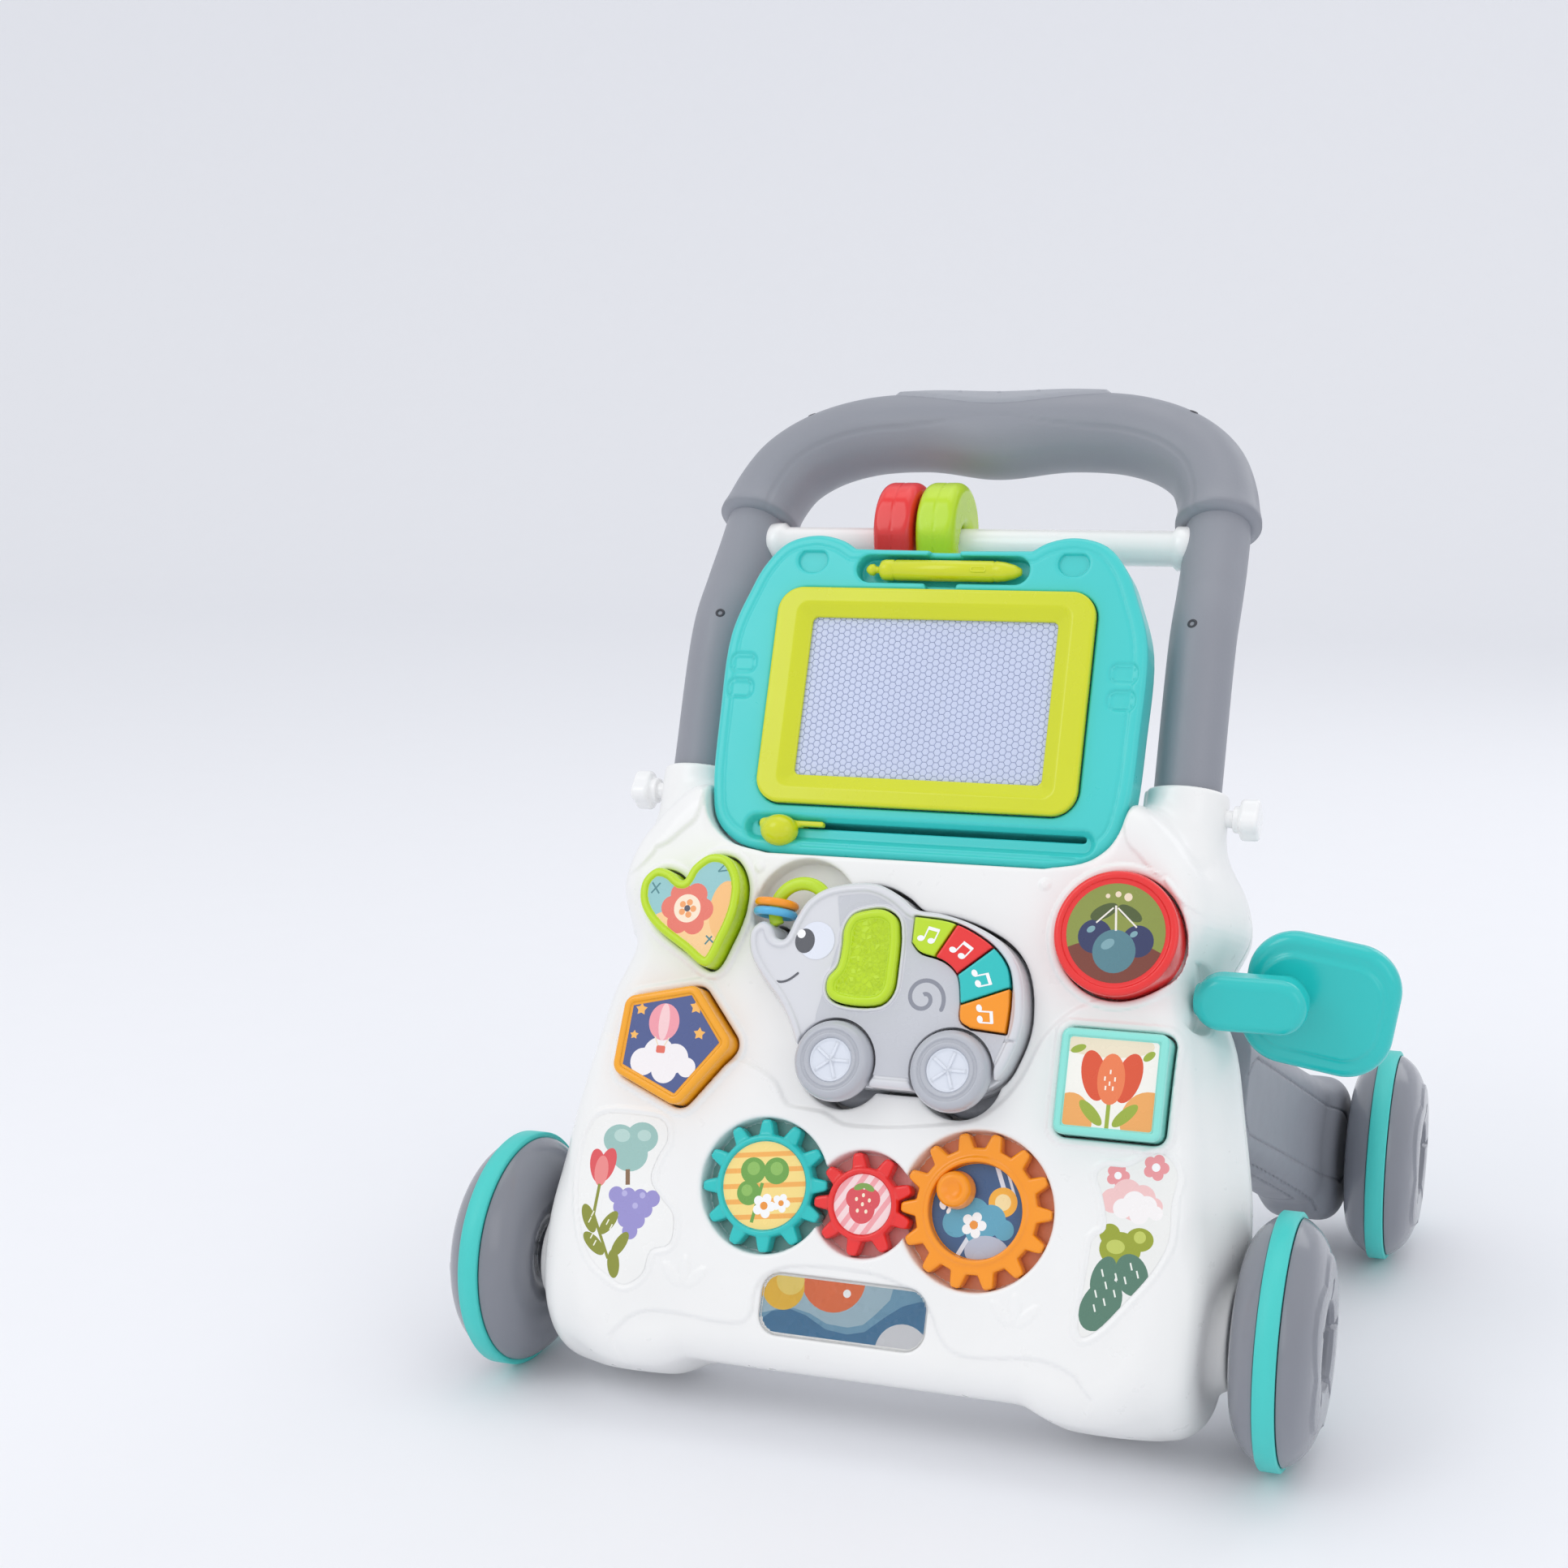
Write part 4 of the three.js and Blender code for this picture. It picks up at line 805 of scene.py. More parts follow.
KEY_OUTER, KEY_INNER = even_flat(KEY_OUTER, 33), even_flat(KEY_INNER, 33)


def key_outline(index):
    first = index * 8
    return KEY_OUTER[first:first + 9] + KEY_INNER[first:first + 9][::-1]


KEY_ROOM = -3.0                          # depth of the openings that the keys and the ear sink into


def wheel_arches(x, s, w, low, high):
    arches = None
    for axle in TOY_AXLES:
        arch = np.maximum(circle(x, s, axle.x, axle.y, TOY_WHEEL_RADIUS + 1.2), np.maximum(low - w, w - high))
        arches = arch if arches is None else np.minimum(arches, arch)
    return arches


def make_toy_shells():
    block = Block((-66, 166, TOY_BACK - 1), (70, 263, TOY_FACE + 1), 0.7)
    x, s, w = block.x, block.y, block.z
    flat = toy_flat(x, s)
    front = slab(flat, w, TOY_JOINT + 0.15, TOY_FACE, 3.4)
    front = np.maximum(front, np.maximum(flat, TOY_JOINT + 0.15 - w))
    dish = np.maximum(flat + 4.2, TOY_FACE - 1.2 - w)
    front = smooth_max(front, -dish, 1.6)
    front = smooth_max(front, -wheel_arches(x, s, w, 3, 20), 1.2)
    seam = np.maximum(np.abs(s - 194 - 0.02 * x) - 0.45, np.maximum(TOY_FACE - 2 - w, -20 - x))
    front = smooth_max(front, -seam, 0.5)
    ear = polygon(x, s, EAR)
    front = smooth_max(front, -np.maximum(ear - 0.9, KEY_ROOM - w), 0.6)
    rim = slab(np.abs(ear - 1.6) - 0.8, w, 4, TOY_FACE + 0.1, 0.5)
    front = smooth_min(front, rim, 0.8)
    keys = polygon(x, s, KEY_OUTER + KEY_INNER[::-1])
    front = smooth_max(front, -np.maximum(keys - 0.4, KEY_ROOM - w), 0.6)
    piece = skin("toy_front_shell_skin", block, front)
    put(piece, TOY_WHITE, "toy", "toy_front_shell")
    back = slab(flat, w, TOY_BACK, TOY_JOINT - 0.15, 2.6)
    back = smooth_max(back, -wheel_arches(x, s, w, -60, -19.5), 1.2)
    door = np.maximum(rectangle(x, s, 12, 222, 50, 30, 3), w - TOY_BACK - 2.2)
    back = smooth_max(back, -door, 0.5)
    put(skin("toy_back_shell_skin", block, back), TOY_WHITE, "toy", "toy_back_shell")


def make_toy_buttons():
    block = Block((-25, 204, 3), (11, 251, 17), 0.5)
    ear = polygon(block.x, block.y, EAR)
    button = slab(ear, block.z, 4, TOY_FACE + 3, 1.8)
    dish = np.maximum(ear + 3.8, TOY_FACE + 2 - block.z)
    ear_button = skin("ear_button_skin", block, smooth_max(button, -dish, 1.2))
    put(ear_button, EAR_LIME, "ear_button", "toy_ear_button")
    recolour(ear_button, pebbled("BFE01C"), lambda x, s, w: (polygon(x, s, EAR) < -4.4) & (w > 12))
    for index, (name, material) in enumerate(KEYS):
        outline = key_outline(index)
        low, high = np.min(outline, axis=0), np.max(outline, axis=0)
        block = Block((*low, 3), (*high, TOY_FACE + 3), 0.5)
        key = slab(polygon(block.x, block.y, outline) + 0.4, block.z, 4, TOY_FACE + 1.2, 0.9)
        put(skin(f"key_{index + 1}_skin", block, key), material, f"key_{index + 1}", f"toy_key_{index + 1}")


def recolour(obj, material, chosen):
    """The faces whose middles, in the panel's axes, are chosen take a second material."""
    middle = np.empty(len(obj.data.polygons) * 3)
    obj.data.polygons.foreach_get("center", middle)
    turn = np.array(PANEL.inverted())[:3]
    middle = middle.reshape(-1, 3) @ turn[:, :3].T + turn[:, 3]
    obj.data.materials.append(material)
    obj.data.polygons.foreach_set("material_index", chosen(*middle.T).astype(np.int32))


def spoked(radius, height, angles):
    """Five raised spokes and a small boss on a toy wheel's hub."""
    spoke = np.abs(np.angle(np.exp(5j * angles))) / 5 * radius < 0.7
    return np.where(spoke & (radius > 1.5) & (radius < 8.6), 0.8, 0.0)


def make_toy_wheels():
    tyre = [(9.6, 15.2), (10.2, 16.6), (11.6, 17.2), (12.4, 16.4), (13.2, 16.4), (14, 17.1), (15.6, 16.5),
            (17.2, 14.6), (18, 11.5), (18, 8.5), (17, 5.2), (15, 4), (3, 4)]
    hub = [(0, 15.6), (1.6, 15.6), (2, 15.1), (2.6, 15.1), *[(r, 15.1) for r in np.linspace(3, 8.6, 9)], (9, 15.7),
           (9.6, 15.7), (10, 14.5)]
    for end, axle in zip(("front", "rear"), TOY_AXLES):
        body = f"toy_{end}_wheels"
        place = on_panel(axle.x, axle.y)
        near = lathe(f"toy_tyre_{end}_near", curve_through(tyre, 4), place, 80)
        put(near, TOY_TYRE, body, f"toy_wheel_{end}_near")
        put(lathe(f"toy_hub_{end}_near", hub, place, 160, spoked), TOY_HUB, body)
        far = on_panel(axle.x, axle.y, -18.5) @ Matrix.Rotation(math.pi, 4, "X") @ Matrix.Diagonal((1, 1, 0.7, 1))
        put(lathe(f"toy_tyre_{end}_far", curve_through(tyre, 4), far, 80),
            TOY_TYRE, body, f"toy_wheel_{end}_far")
        put(lathe(f"toy_hub_{end}_far", hub, far, 160, spoked), TOY_HUB, body)


HOOP = {"x": -43, "s": 247, "w": 2, "radius": 13}


def make_toy_hoop():
    angles = [math.radians(212 + (35 - 212) * i / 40) for i in range(41)]
    arc = [(HOOP["x"] + HOOP["radius"] * math.cos(a), HOOP["s"] + HOOP["radius"] * math.sin(a), HOOP["w"])
           for a in angles]
    hoop = sweep("toy_hoop_skin", evenly(arc, 0.8), lambda a, at, length: np.full(len(a), 2.6) + 0.5 * np.cos(2 * a),
                 (0, 0, 1), PANEL, 28)
    put(hoop, EAR_LIME, "toy", "toy_hoop")
    direction = math.radians(178)
    for colour, material, along in (("orange", ORANGE, -2.1), ("blue", BLUE, 2.1)):
        centre = Matrix.Translation((HOOP["x"], HOOP["s"], HOOP["w"])) @ Matrix.Rotation(direction, 4, "Z")
        place = PANEL @ centre @ Matrix.Translation((HOOP["radius"] - 0.3, along, 0)) @ Matrix.Rotation(
            math.pi / 2, 4, "X")
        profile = [(8.2 + 1.95 * math.cos(t), 1.95 * math.sin(t)) for t in np.linspace(0, 2 * math.pi, 25)]
        put(lathe(f"toy_ring_{colour}_skin", profile, place, 64), material, "toy_rings", f"toy_ring_{colour}")


# ---- the drawing board ----
SCREEN_CENTRE = 351.0


def board_cuts(x, s, w):
    """The pen tray, ear recesses, finger notches, side slots and the eraser's channel."""
    tray = np.maximum(rectangle(x, s, 1, 413.5, 84, 13.5, 6.7), -16.5 - w)
    notch = np.maximum(rectangle(x, s, 1, 413.5, 15, 20.5, 2.5), -12.5 - w)
    cuts = smooth_min(tray, notch, 1.5)
    across = np.abs(x)
    ears = np.maximum(ellipse(across, s, 63.5, 417, 7.2, 6), -10.2 - w)
    cuts = np.minimum(cuts, np.maximum(ears, s - 421.5))
    for height in (366, 353.5):
        side = np.abs(rectangle(across, s, 92, height, 12, 8.5, 3.4)) - 0.35
        side = np.minimum(side, rectangle(across, s, 92, height, 12, 8.5, 3.4) + 1.2)
        cuts = np.minimum(cuts, np.maximum(side, -8.9 - w))
    channel = np.maximum(rectangle(x, s, 3, 287.5, 168, 12.5, 6) + 0.6 * (-8 - w), -12.2 - w)
    slot = np.maximum(rectangle(x, s, 3, 290, 158, 3.2, 1.5), -28 - w)
    ledge = np.maximum(stroke(x, s, [(-52, 280), (78, 280)], 0.6), -8.9 - w)
    return np.minimum(np.minimum(cuts, channel), np.minimum(slot, ledge))


def make_board_frame():
    block = Block((-104, 274, -35), (104, 432, -6), 0.8)
    x, s, w = block.x, block.y, block.z
    outline = polygon(x, s, BOARD)
    frame_field = slab(outline, w, -30, -8, 3.2)
    step = np.maximum(np.abs(outline + 6) - 0.4, -8.5 - w)
    frame_field = smooth_max(frame_field, -step, 0.6)
    pocket = np.maximum(rectangle(x, s, 0, SCREEN_CENTRE, 155, 105, 13), -12.5 - w)
    frame_field = smooth_max(frame_field, -pocket, 0.8)
    frame_field = smooth_max(frame_field, -board_cuts(x, s, w), 1.2)
    put(skin("board_frame_skin", block, frame_field), BOARD_TEAL, "drawing_board", "board_frame")
    back = slab(outline + 2, w, -33.5, -30.3, 1.2)
    lines = np.maximum(np.abs(rectangle(x, s, 0, 350, 150, 110, 16)) - 0.7, w + 32.6)
    put(skin("board_back_skin", block, smooth_max(back, -lines, 0.6)), BOARD_TEAL, "drawing_board", "board_back")


def make_bezel():
    block = Block((-79, 297, -11), (79, 405, -3), 0.6)
    x, s, w = block.x, block.y, block.z
    outer = rectangle(x, s, 0, SCREEN_CENTRE, 154, 104, 12)
    hole = rectangle(x, s, 0, SCREEN_CENTRE, 119, 76, 2.5)
    fall = np.clip(-rectangle(x, s, 0, SCREEN_CENTRE, 133.5, 90, 6) / 7, 0, 1) * 3.2
    field = smooth_max(slab(outer, w, -9.6, -4.5, 1.6), w + 4.5 + fall, 0.9)
    put(skin("board_bezel_skin", block, smooth_max(field, -hole, 0.7)), LIME, "drawing_board", "board_bezel")


CELL_PITCH = 3.25


def make_screen():
    """Raised hexagonal cells on the line-coloured sheet between them."""
    points, faces, finish = [], [], []
    row_height = CELL_PITCH * math.sqrt(3) / 2
    columns, rows = int(124 / row_height) // 2, int(82 / CELL_PITCH) // 2
    levels = [(0.60, -9.95), (0.50, -9.85), (0.455, -9.65), (0.38, -9.58)]
    for column in range(-columns, columns + 1):
        for row in range(-rows, rows + 1):
            cx = column * row_height
            cs = SCREEN_CENTRE + (row + 0.5 * (column % 2)) * CELL_PITCH
            first = len(points)
            for share, depth in levels:
                radius = share * CELL_PITCH * (1.1547 if share > 0.55 else 1.13)
                for corner in range(6):
                    a = math.pi / 3 * corner
                    points.append((cx + radius * 0.962 * math.cos(a), cs + radius * 0.962 * math.sin(a), depth))
            for level in range(len(levels) - 1):
                for corner in range(6):
                    a, b = first + level * 6 + corner, first + level * 6 + (corner + 1) % 6
                    faces.append((a, b, b + 6, a + 6))
                    finish.append(0 if level == 0 else 1)
            faces.append(tuple(first + 18 + corner for corner in range(6)))
            finish.append(1)
    screen = mesh_of("board_screen_cells", points, faces, PANEL)
    screen.data.polygons.foreach_set("use_smooth", np.zeros(len(faces), bool))
    put(screen, plastic("8E95AE", 0.5), "drawing_board", "board_screen")
    screen.data.materials.append(plastic("C9D2EC", 0.4, coat=0.2))
    screen.data.polygons.foreach_set("material_index", np.array(finish, np.int32))


def make_pen():
    profile = [(0, -38), (1.3, -37.6), (2.6, -36), (2.8, -34.2), (1.6, -33), (1.7, -31.6), (4.4, -30), (4.9, -28.5),
               (4.9, -24.4), (4.5, -24), (4.5, -23.4), (4.9, -23), (4.9, 24), (4.6, 24.5), (4.6, 25.2), (4.9, 25.7),
               (4.4, 30), (3.2, 34.5), (1.6, 37.6), (0, 38)]
    place = PANEL @ Matrix.Translation((1, 413.5, -11)) @ Matrix.Rotation(math.pi / 2, 4, "Y")
    put(lathe("pen_skin", profile, place, 56), LIME, "pen", "pen")
    clip = Block((14, 409, -8), (24, 417, -5), 0.25)
    field = slab(rectangle(clip.x, clip.y, 19, 413, 8, 3, 1.4), clip.z, -7.4, -5.8, 0.4)
    groove = np.maximum(rectangle(clip.x, clip.y, 19, 413, 6, 1.2, 0.5), -6.2 - clip.z)
    put(skin("pen_clip", clip, smooth_max(field, -groove, 0.3)), LIME, "pen")


def make_eraser():
    block = Block((-74, 277, -21), (-40, 295, 1), 0.5)
    x, s, w = block.x, block.y, block.z
    knob = (np.sqrt(((x + 63) / 9) ** 2 + ((s - 286) / 7.4) ** 2 + ((w + 7.6) / 7.6) ** 2) - 1) * 7.4
    knob = smooth_max(knob, -11.5 - w, 1.5)
    nub = np.sqrt((x + 70.5) ** 2 + (s - 289) ** 2 + (w + 6) ** 2) - 2
    strip = slab(rectangle(x, s, -55, 290, 26, 2.4, 0.9), w, -12, -8.2, 0.6)
    neck = slab(rectangle(x, s, -61, 289.5, 16, 2.2, 0.8), w, -20, -9, 0.5)
    field = smooth_min(smooth_min(knob, nub, 2), smooth_min(strip, neck, 1), 1)
    put(skin("eraser_slider_skin", block, field), LIME, "eraser", "eraser_slider")


BAR = (30.0, 383.0)                      # y and z of the crossbar
HOOK_CENTRE = (30.0, 389.5)              # and of the middle of each hook's bend
HOOK_PATH = ([(HOOK_CENTRE[0] + 17 * math.cos(a), HOOK_CENTRE[1] + 17 * math.sin(a))
              for a in np.linspace(-0.15, math.pi, 24)] + [(13, 378), (-1, 360), (-10.5, 350)])


def hook_side(y, z):
    """A cane whose bend is filled in round the crossbar and open below it."""
    bend = np.maximum(circle(y, z, *HOOK_CENTRE, 23.5), BAR[1] - 1 - z)
    solid = smooth_min(stroke(y, z, HOOK_PATH, 6.5), bend, 2)
    mouth = np.minimum(circle(y, z, *BAR, 9.3), np.maximum(np.abs(y - BAR[0]) - 9.3, z - BAR[1]))
    return smooth_max(solid, -mouth, 1.2)


def make_hooks():
    for name, material, low in (("hook_red", RED, -46.0), ("hook_lime", EAR_LIME, -24.5)):
        block = Block((low - 1, -20, 338), (low + 21, 57, 416), 0.6, WORLD)
        x, y, z = block.x, block.y, block.z
        flat = hook_side(y, z)
        field = slab(flat, x, low, low + 20, 5.0)
        seam = np.maximum(np.abs(x - low - 10) - 0.16, -flat - 0.6)
        field = smooth_max(field, -seam, 0.4)
        behind = (y - FOOT.y * 1000) * NORMAL.y + z * NORMAL.z
        field = smooth_max(field, behind + 33.9, 0.8)
        put(skin(name + "_skin", block, field), material, "drawing_board", name)


# ---- handle ----
def handle_axis():
    low = [tuple(PANEL @ Vector((TUBE_X, s, TUBE_DEPTH - drop)) / MM) for s, drop in ((236, 0), (320, 0), (392, 1))]
    bend = [(119.2, 12, 362), (118.6, 26, 377), (117.2, 41, 395)]
    slope = math.radians(40)
    arch = [(x, 49 + rise * math.sin(slope), 404 + rise * math.cos(slope))
            for x, rise in ((114.5, 2), (107, 18), (92, 31), (70, 39.5), (40, 42.5), (0, 41.5))]
    right = low + bend + arch
    return curve_through(right + [(-x, y, z) for x, y, z in reversed(right[:-1])], 14)


AXIS = handle_axis()
ARCH_FACING = (0, -0.766, 0.643)


def tube_section(angles, at, length):
    return np.full(len(angles), 15.5)


def grip_section(angles, at, length):
    """A fat sleeve with collars at its ends and a swell for the palm at its middle."""
    from_end = min(at, length - at)
    collar = 1.6 * math.exp(-(from_end / 7.0) ** 2)
    middle = (at - length / 2) / length
    swell = math.exp(-(middle / 0.085) ** 2)
    lower = np.maximum(-np.cos(angles), 0) ** 2
    seam = 0.5 * np.exp(-((np.abs(angles - math.pi) - 1.05 - 0.35 * swell) / 0.03) ** 2)
    taper = 1 - 0.25 * math.exp(-(from_end / 1.2) ** 2)
    return (19.4 + collar + 4.6 * swell * lower) * taper - seam


def pad_section(angles, at, length):
    """The soft pad on the grip's crown, hidden inside the grip elsewhere."""
    along = abs(at - length / 2)
    reach = 1.15 - 0.5 * (along / 55) ** 2
    away = np.abs(np.angle(np.exp(1j * (angles - 0.25))))
    edge = np.clip((reach - away) / 0.12, 0, 1) * (1 if along < 52 else max(0.0, 1 - (along - 52) / 4))
    return 18.6 + 2.3 * edge * edge * (3 - 2 * edge)


def make_handle():
    points, at, length = evenly(AXIS, 2.0)
    split = [i for i, p in enumerate(points) if p[2] > 402]
    for side, part in (("right", points[:split[0] + 1]), ("left", points[split[-1]:][::-1])):
        tube = sweep(f"tube_{side}_skin", (part, at[:len(part)], at[len(part) - 1]), tube_section, ARCH_FACING)
        put(tube, GREY, "body", f"tube_{side}")
    crown = [i for i, p in enumerate(points) if p[2] > 390]
    arch = points[crown[0]:crown[-1] + 1]
    along = at[:len(arch)]
    grip = sweep("grip_skin", (arch, along, along[-1]), grip_section, ARCH_FACING, sides=96)
    put(grip, GREY, "body", "grip")
    top = [i for i, p in enumerate(arch) if abs(p[0]) < 60]
    pad_points = arch[top[0]:top[-1] + 1]
    pad = sweep("grip_pad_skin", (pad_points, at[:len(top)], at[len(top) - 1]), pad_section, ARCH_FACING, sides=96)
    put(pad, PAD_GREY, "body", "grip_pad")
    make_pad_bumps()
    make_crossbar()
    make_knobs()


def make_pad_bumps():
    """Three small nubs along the pad's crest."""
    dome = [(0, 0.9), (0.9, 0.7), (1.5, 0.1), (1.7, -1)]
    for i, x in enumerate((-20.6, 0.0, 20.6)):
        nearest = min(AXIS, key=lambda p: math.hypot(p[0] - x, p[2] - 436))
        out = Vector((0, -0.22, 0.975))
        place = WORLD @ Matrix.Translation(Vector(nearest) + out * 20.6) @ out.to_track_quat(
            "Z", "Y").to_matrix().to_4x4()
        put(lathe(f"pad_nub_{i + 1}", dome, place, 32), PAD_GREY, "body")


def make_crossbar():
    collar = [(0, -112), (8.5, -112), (8.5, -108), (10.5, -106), (10.5, -100), (8.5, -98)]
    profile = collar + [(8.5, 98), (10.5, 100), (10.5, 106), (8.5, 108), (8.5, 112), (0, 112)]
    place = WORLD @ Matrix.Translation((0, *BAR)) @ Matrix.Rotation(math.pi / 2, 4, "Y")
    put(lathe("crossbar_skin", profile, place, 56), BAR_WHITE, "body", "crossbar")


def make_knobs():
    for side, sign in (("right", 1), ("left", -1)):
        pivot = joint_at(f"lock_{side}_turn")
        block = Block((134, pivot.y - 12, pivot.z - 12), (157, pivot.y + 12, pivot.z + 12), 0.5,
                      Matrix.Scale(sign, 4, (1, 0, 0)) @ WORLD)
        x, y, z = block.x, block.y - pivot.y, block.z - pivot.z
        angle = np.arctan2(z, y)
        radius = np.hypot(y, z)
        head = slab(radius - 8.7 - 0.9 * np.cos(4 * angle), x, 145, 154, 2)
        neck = slab(radius - 6.2, x, 142, 147, 0.8)
        stem = smooth_min(slab(radius - 4, x, 134, 147, 0.5), neck, 0.8)
        knob = skin(f"lock_knob_{side}_skin", block, smooth_min(head, stem, 1.2))
        put(knob, BAR_WHITE, f"lock_{side}", f"lock_knob_{side}")


# ---- rear legs and wheels ----
REAR_AXLE = joint_at("rear_right_wheel_spin")


LEG_SPLAY = 22.0                         # how much nearer the middle the leg starts
LEG_TOP = (PANEL @ Vector((0, 189, BODY_BACK))) / MM


def leg_field(x, y, z):
    """A rounded beam that splays outwards from the body's back to the barrel round its axle."""
    run, rise = REAR_AXLE.y - LEG_TOP.y, REAR_AXLE.z - LEG_TOP.z
    length = math.hypot(run, rise)
    u = ((y - LEG_TOP.y) * run + (z - LEG_TOP.z) * rise) / length
    v = ((y - LEG_TOP.y) * rise - (z - LEG_TOP.z) * run) / length
    t = u / length
    upright = x + LEG_SPLAY * (1 - t)
    reach = np.clip(u, -0.1 * length, length)
    beam = np.hypot(u - reach, v) - (31 + 4 * np.clip(t, 0, 1) ** 2)
    barrel = slab(circle(y, z, REAR_AXLE.y, REAR_AXLE.z, 38), x, 138, 178, 10)
    leg = smooth_min(slab(beam, upright, 138, 177, 13), barrel, 9)
    skin_deep = -(leg + 1.0)
    beside = upright - 158
    loop = np.abs(rectangle(beside, u, -3, 0.3 * length, 21, 0.98 * length, 10)) - 0.4
    ridge = np.maximum(np.abs(beside - 13) - 0.4, u - 0.92 * length)
    oval = np.abs(rectangle(u, v, 0.5 * length, 0, 1.05 * length, 36, 17)) - 0.4
    oval = np.maximum(oval, 14 - np.abs(beside))
    lines = np.maximum(np.minimum(np.maximum(np.minimum(loop, ridge), -v), oval), skin_deep)
    leg = smooth_max(leg, -lines, 0.6)
    ribs = np.abs(np.mod(u + 0.7 * np.abs(beside), 9) - 4.5) - 0.6
    ribs = np.maximum(ribs, np.maximum(0.24 * length - u, u - 0.72 * length))
    return smooth_max(leg, -np.maximum(np.maximum(ribs, np.maximum(np.abs(beside) - 12, v)), skin_deep), 0.7)


def make_legs():
    for side, sign in (("right", 1), ("left", -1)):
        block = Block((112, -80, 14), (180, 165, 190), 0.9, Matrix.Scale(sign, 4, (1, 0, 0)) @ WORLD)
        leg_surface = leg_field(block.x, block.y, block.z)
        behind = (block.y - FOOT.y * 1000) * NORMAL.y + block.z * NORMAL.z
        leg_surface = smooth_max(leg_surface, behind - BODY_BACK - 4, 0.8)
        leg = skin(f"rear_leg_{side}_skin", block, leg_surface)
        put(leg, GREY, "body", f"rear_leg_{side}")


WHEEL = curve_through([(3.3, -14), (14, -14), (19, -16), (29, -18.2), (40, -17), (48, -12.6), (52.6, -7.2),
                       (53.6, -5.1)], 6) + [(52.2, -5), (52.2, 5)] + curve_through(
    [(53.6, 5.1), (52.6, 7.2), (48, 12.6), (40, 17), (31, 18.6), (22.5, 18.4), (19.5, 17.6), (18.4, 14),
     (14, 12.6), (9, 13.2), (3.3, 13.2)], 8)
TYRE_PROFILE = [(52.2, -4.6), (55.4, -4.6), (56, -4), (56, 4), (55.4, 4.6), (52.2, 4.6), (52.2, -4.6)]


def wheel_relief(radius, height, angles):
    """A cloud of five lobes on the outer face, notched round the hub."""
    if height < 6:
        return np.zeros(len(angles))
    lobe = 37 + 5.5 * np.abs(np.cos(2.5 * angles)) - 3
    cloud = ramp(lobe - radius, -0.5, 0.5) * (1 if radius > 20 else 0)
    spoke = np.abs(np.angle(np.exp(5j * angles))) / 5 * radius < 1.2
    notch = np.where(spoke & (19 < radius < 28), -1.6, 0)
    return 1.1 * cloud + notch


def make_wheels():
    for end in ("front", "rear"):
        for side, sign in (("right", 1), ("left", -1)):
            body = f"{end}_{side}_wheel"
            low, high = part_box(f"tyre_{end}_{side}")
            centre = (Vector(low) + Vector(high)) / 2 / MM
            place = along_x(centre, sign)
            wheel = lathe(f"wheel_{end}_{side}_skin", WHEEL, place, 150, wheel_relief)
            put(wheel, WHEEL_GREY, body, f"wheel_{end}_{side}")
            tyre = lathe(f"tyre_{end}_{side}_skin", TYRE_PROFILE, place, 160)
            put(tyre, TYRE, body, f"tyre_{end}_{side}")
            cap = [(0, 15), (6, 14.8), (8.4, 14), (9, 12.5)]
            put(lathe(f"wheel_cap_{end}_{side}", curve_through(cap, 4), place, 48), WHEEL_GREY, body)


# ---- side mirror ----
MIRROR_PIVOT = joint_at("mirror_tilt")


def make_mirror():
    px, py, pz = MIRROR_PIVOT
    block = Block((116, py - 10, pz - 14), (192, py + 22, pz + 14), 0.7, WORLD)
    x, y, z = block.x, block.y, block.z
    arm = slab(stroke(x, z, [(148, pz), (173, pz)], 12.4), y, py - 8.5, py + 8, 5)
    pin = slab(np.hypot(y - py, z - pz) - 7, x, 136, 150, 1)
    neck = slab(circle(x, z, 173, pz, 9), y, py, py + 19.4, 1)
    put(skin("mirror_arm_skin", block, smooth_min(smooth_min(arm, neck, 3), pin, 1)), TEAL, "mirror", "mirror_arm")
    make_mirror_plate(py + 19, py + 30)


def make_mirror_plate(front, back):
    low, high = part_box("mirror_plate")
    cx, cz = (low[0] + high[0]) / 2 / MM + 0.5, (low[2] + high[2]) / 2 / MM
    block = Block((cx - 42, front - 4, cz - 38), (cx + 40, back + 1, cz + 38), 0.6, WORLD)
    tilt = math.radians(-9)
    u = (block.x - cx) * math.cos(tilt) + (block.z - cz) * math.sin(tilt)
    v = -(block.x - cx) * math.sin(tilt) + (block.z - cz) * math.cos(tilt)
    outer = rectangle(u, v, 0, 0, 68, 61, 21)
    plate = slab(outer, block.y, front, back, 5)
    raised = slab(rectangle(u, v, 0, 0, 54, 43, 15), block.y, front - 1.6, front + 5, 1.5)
    plate = smooth_min(plate, raised, 2.4)
    seat = np.maximum(rectangle(u, v, 0, 0, 54, 44, 14), back - 1.2 - block.y)
    put(skin("mirror_plate_skin", block, smooth_max(plate, -seat, 0.6)), TEAL, "mirror", "mirror_plate")
    glass_block = Block((cx - 32, back - 3, cz - 28), (cx + 32, back + 0.4, cz + 28), 0.5, WORLD)
    u = (glass_block.x - cx) * math.cos(tilt) + (glass_block.z - cz) * math.sin(tilt)
    v = -(glass_block.x - cx) * math.sin(tilt) + (glass_block.z - cz) * math.cos(tilt)
    glass = slab(rectangle(u, v, 0, 0, 53.4, 43.4, 13.7), glass_block.y, back - 2.6, back - 0.3, 0.4)
    put(skin("mirror_lens_skin", glass_block, glass), MIRROR, "mirror", "mirror_lens")


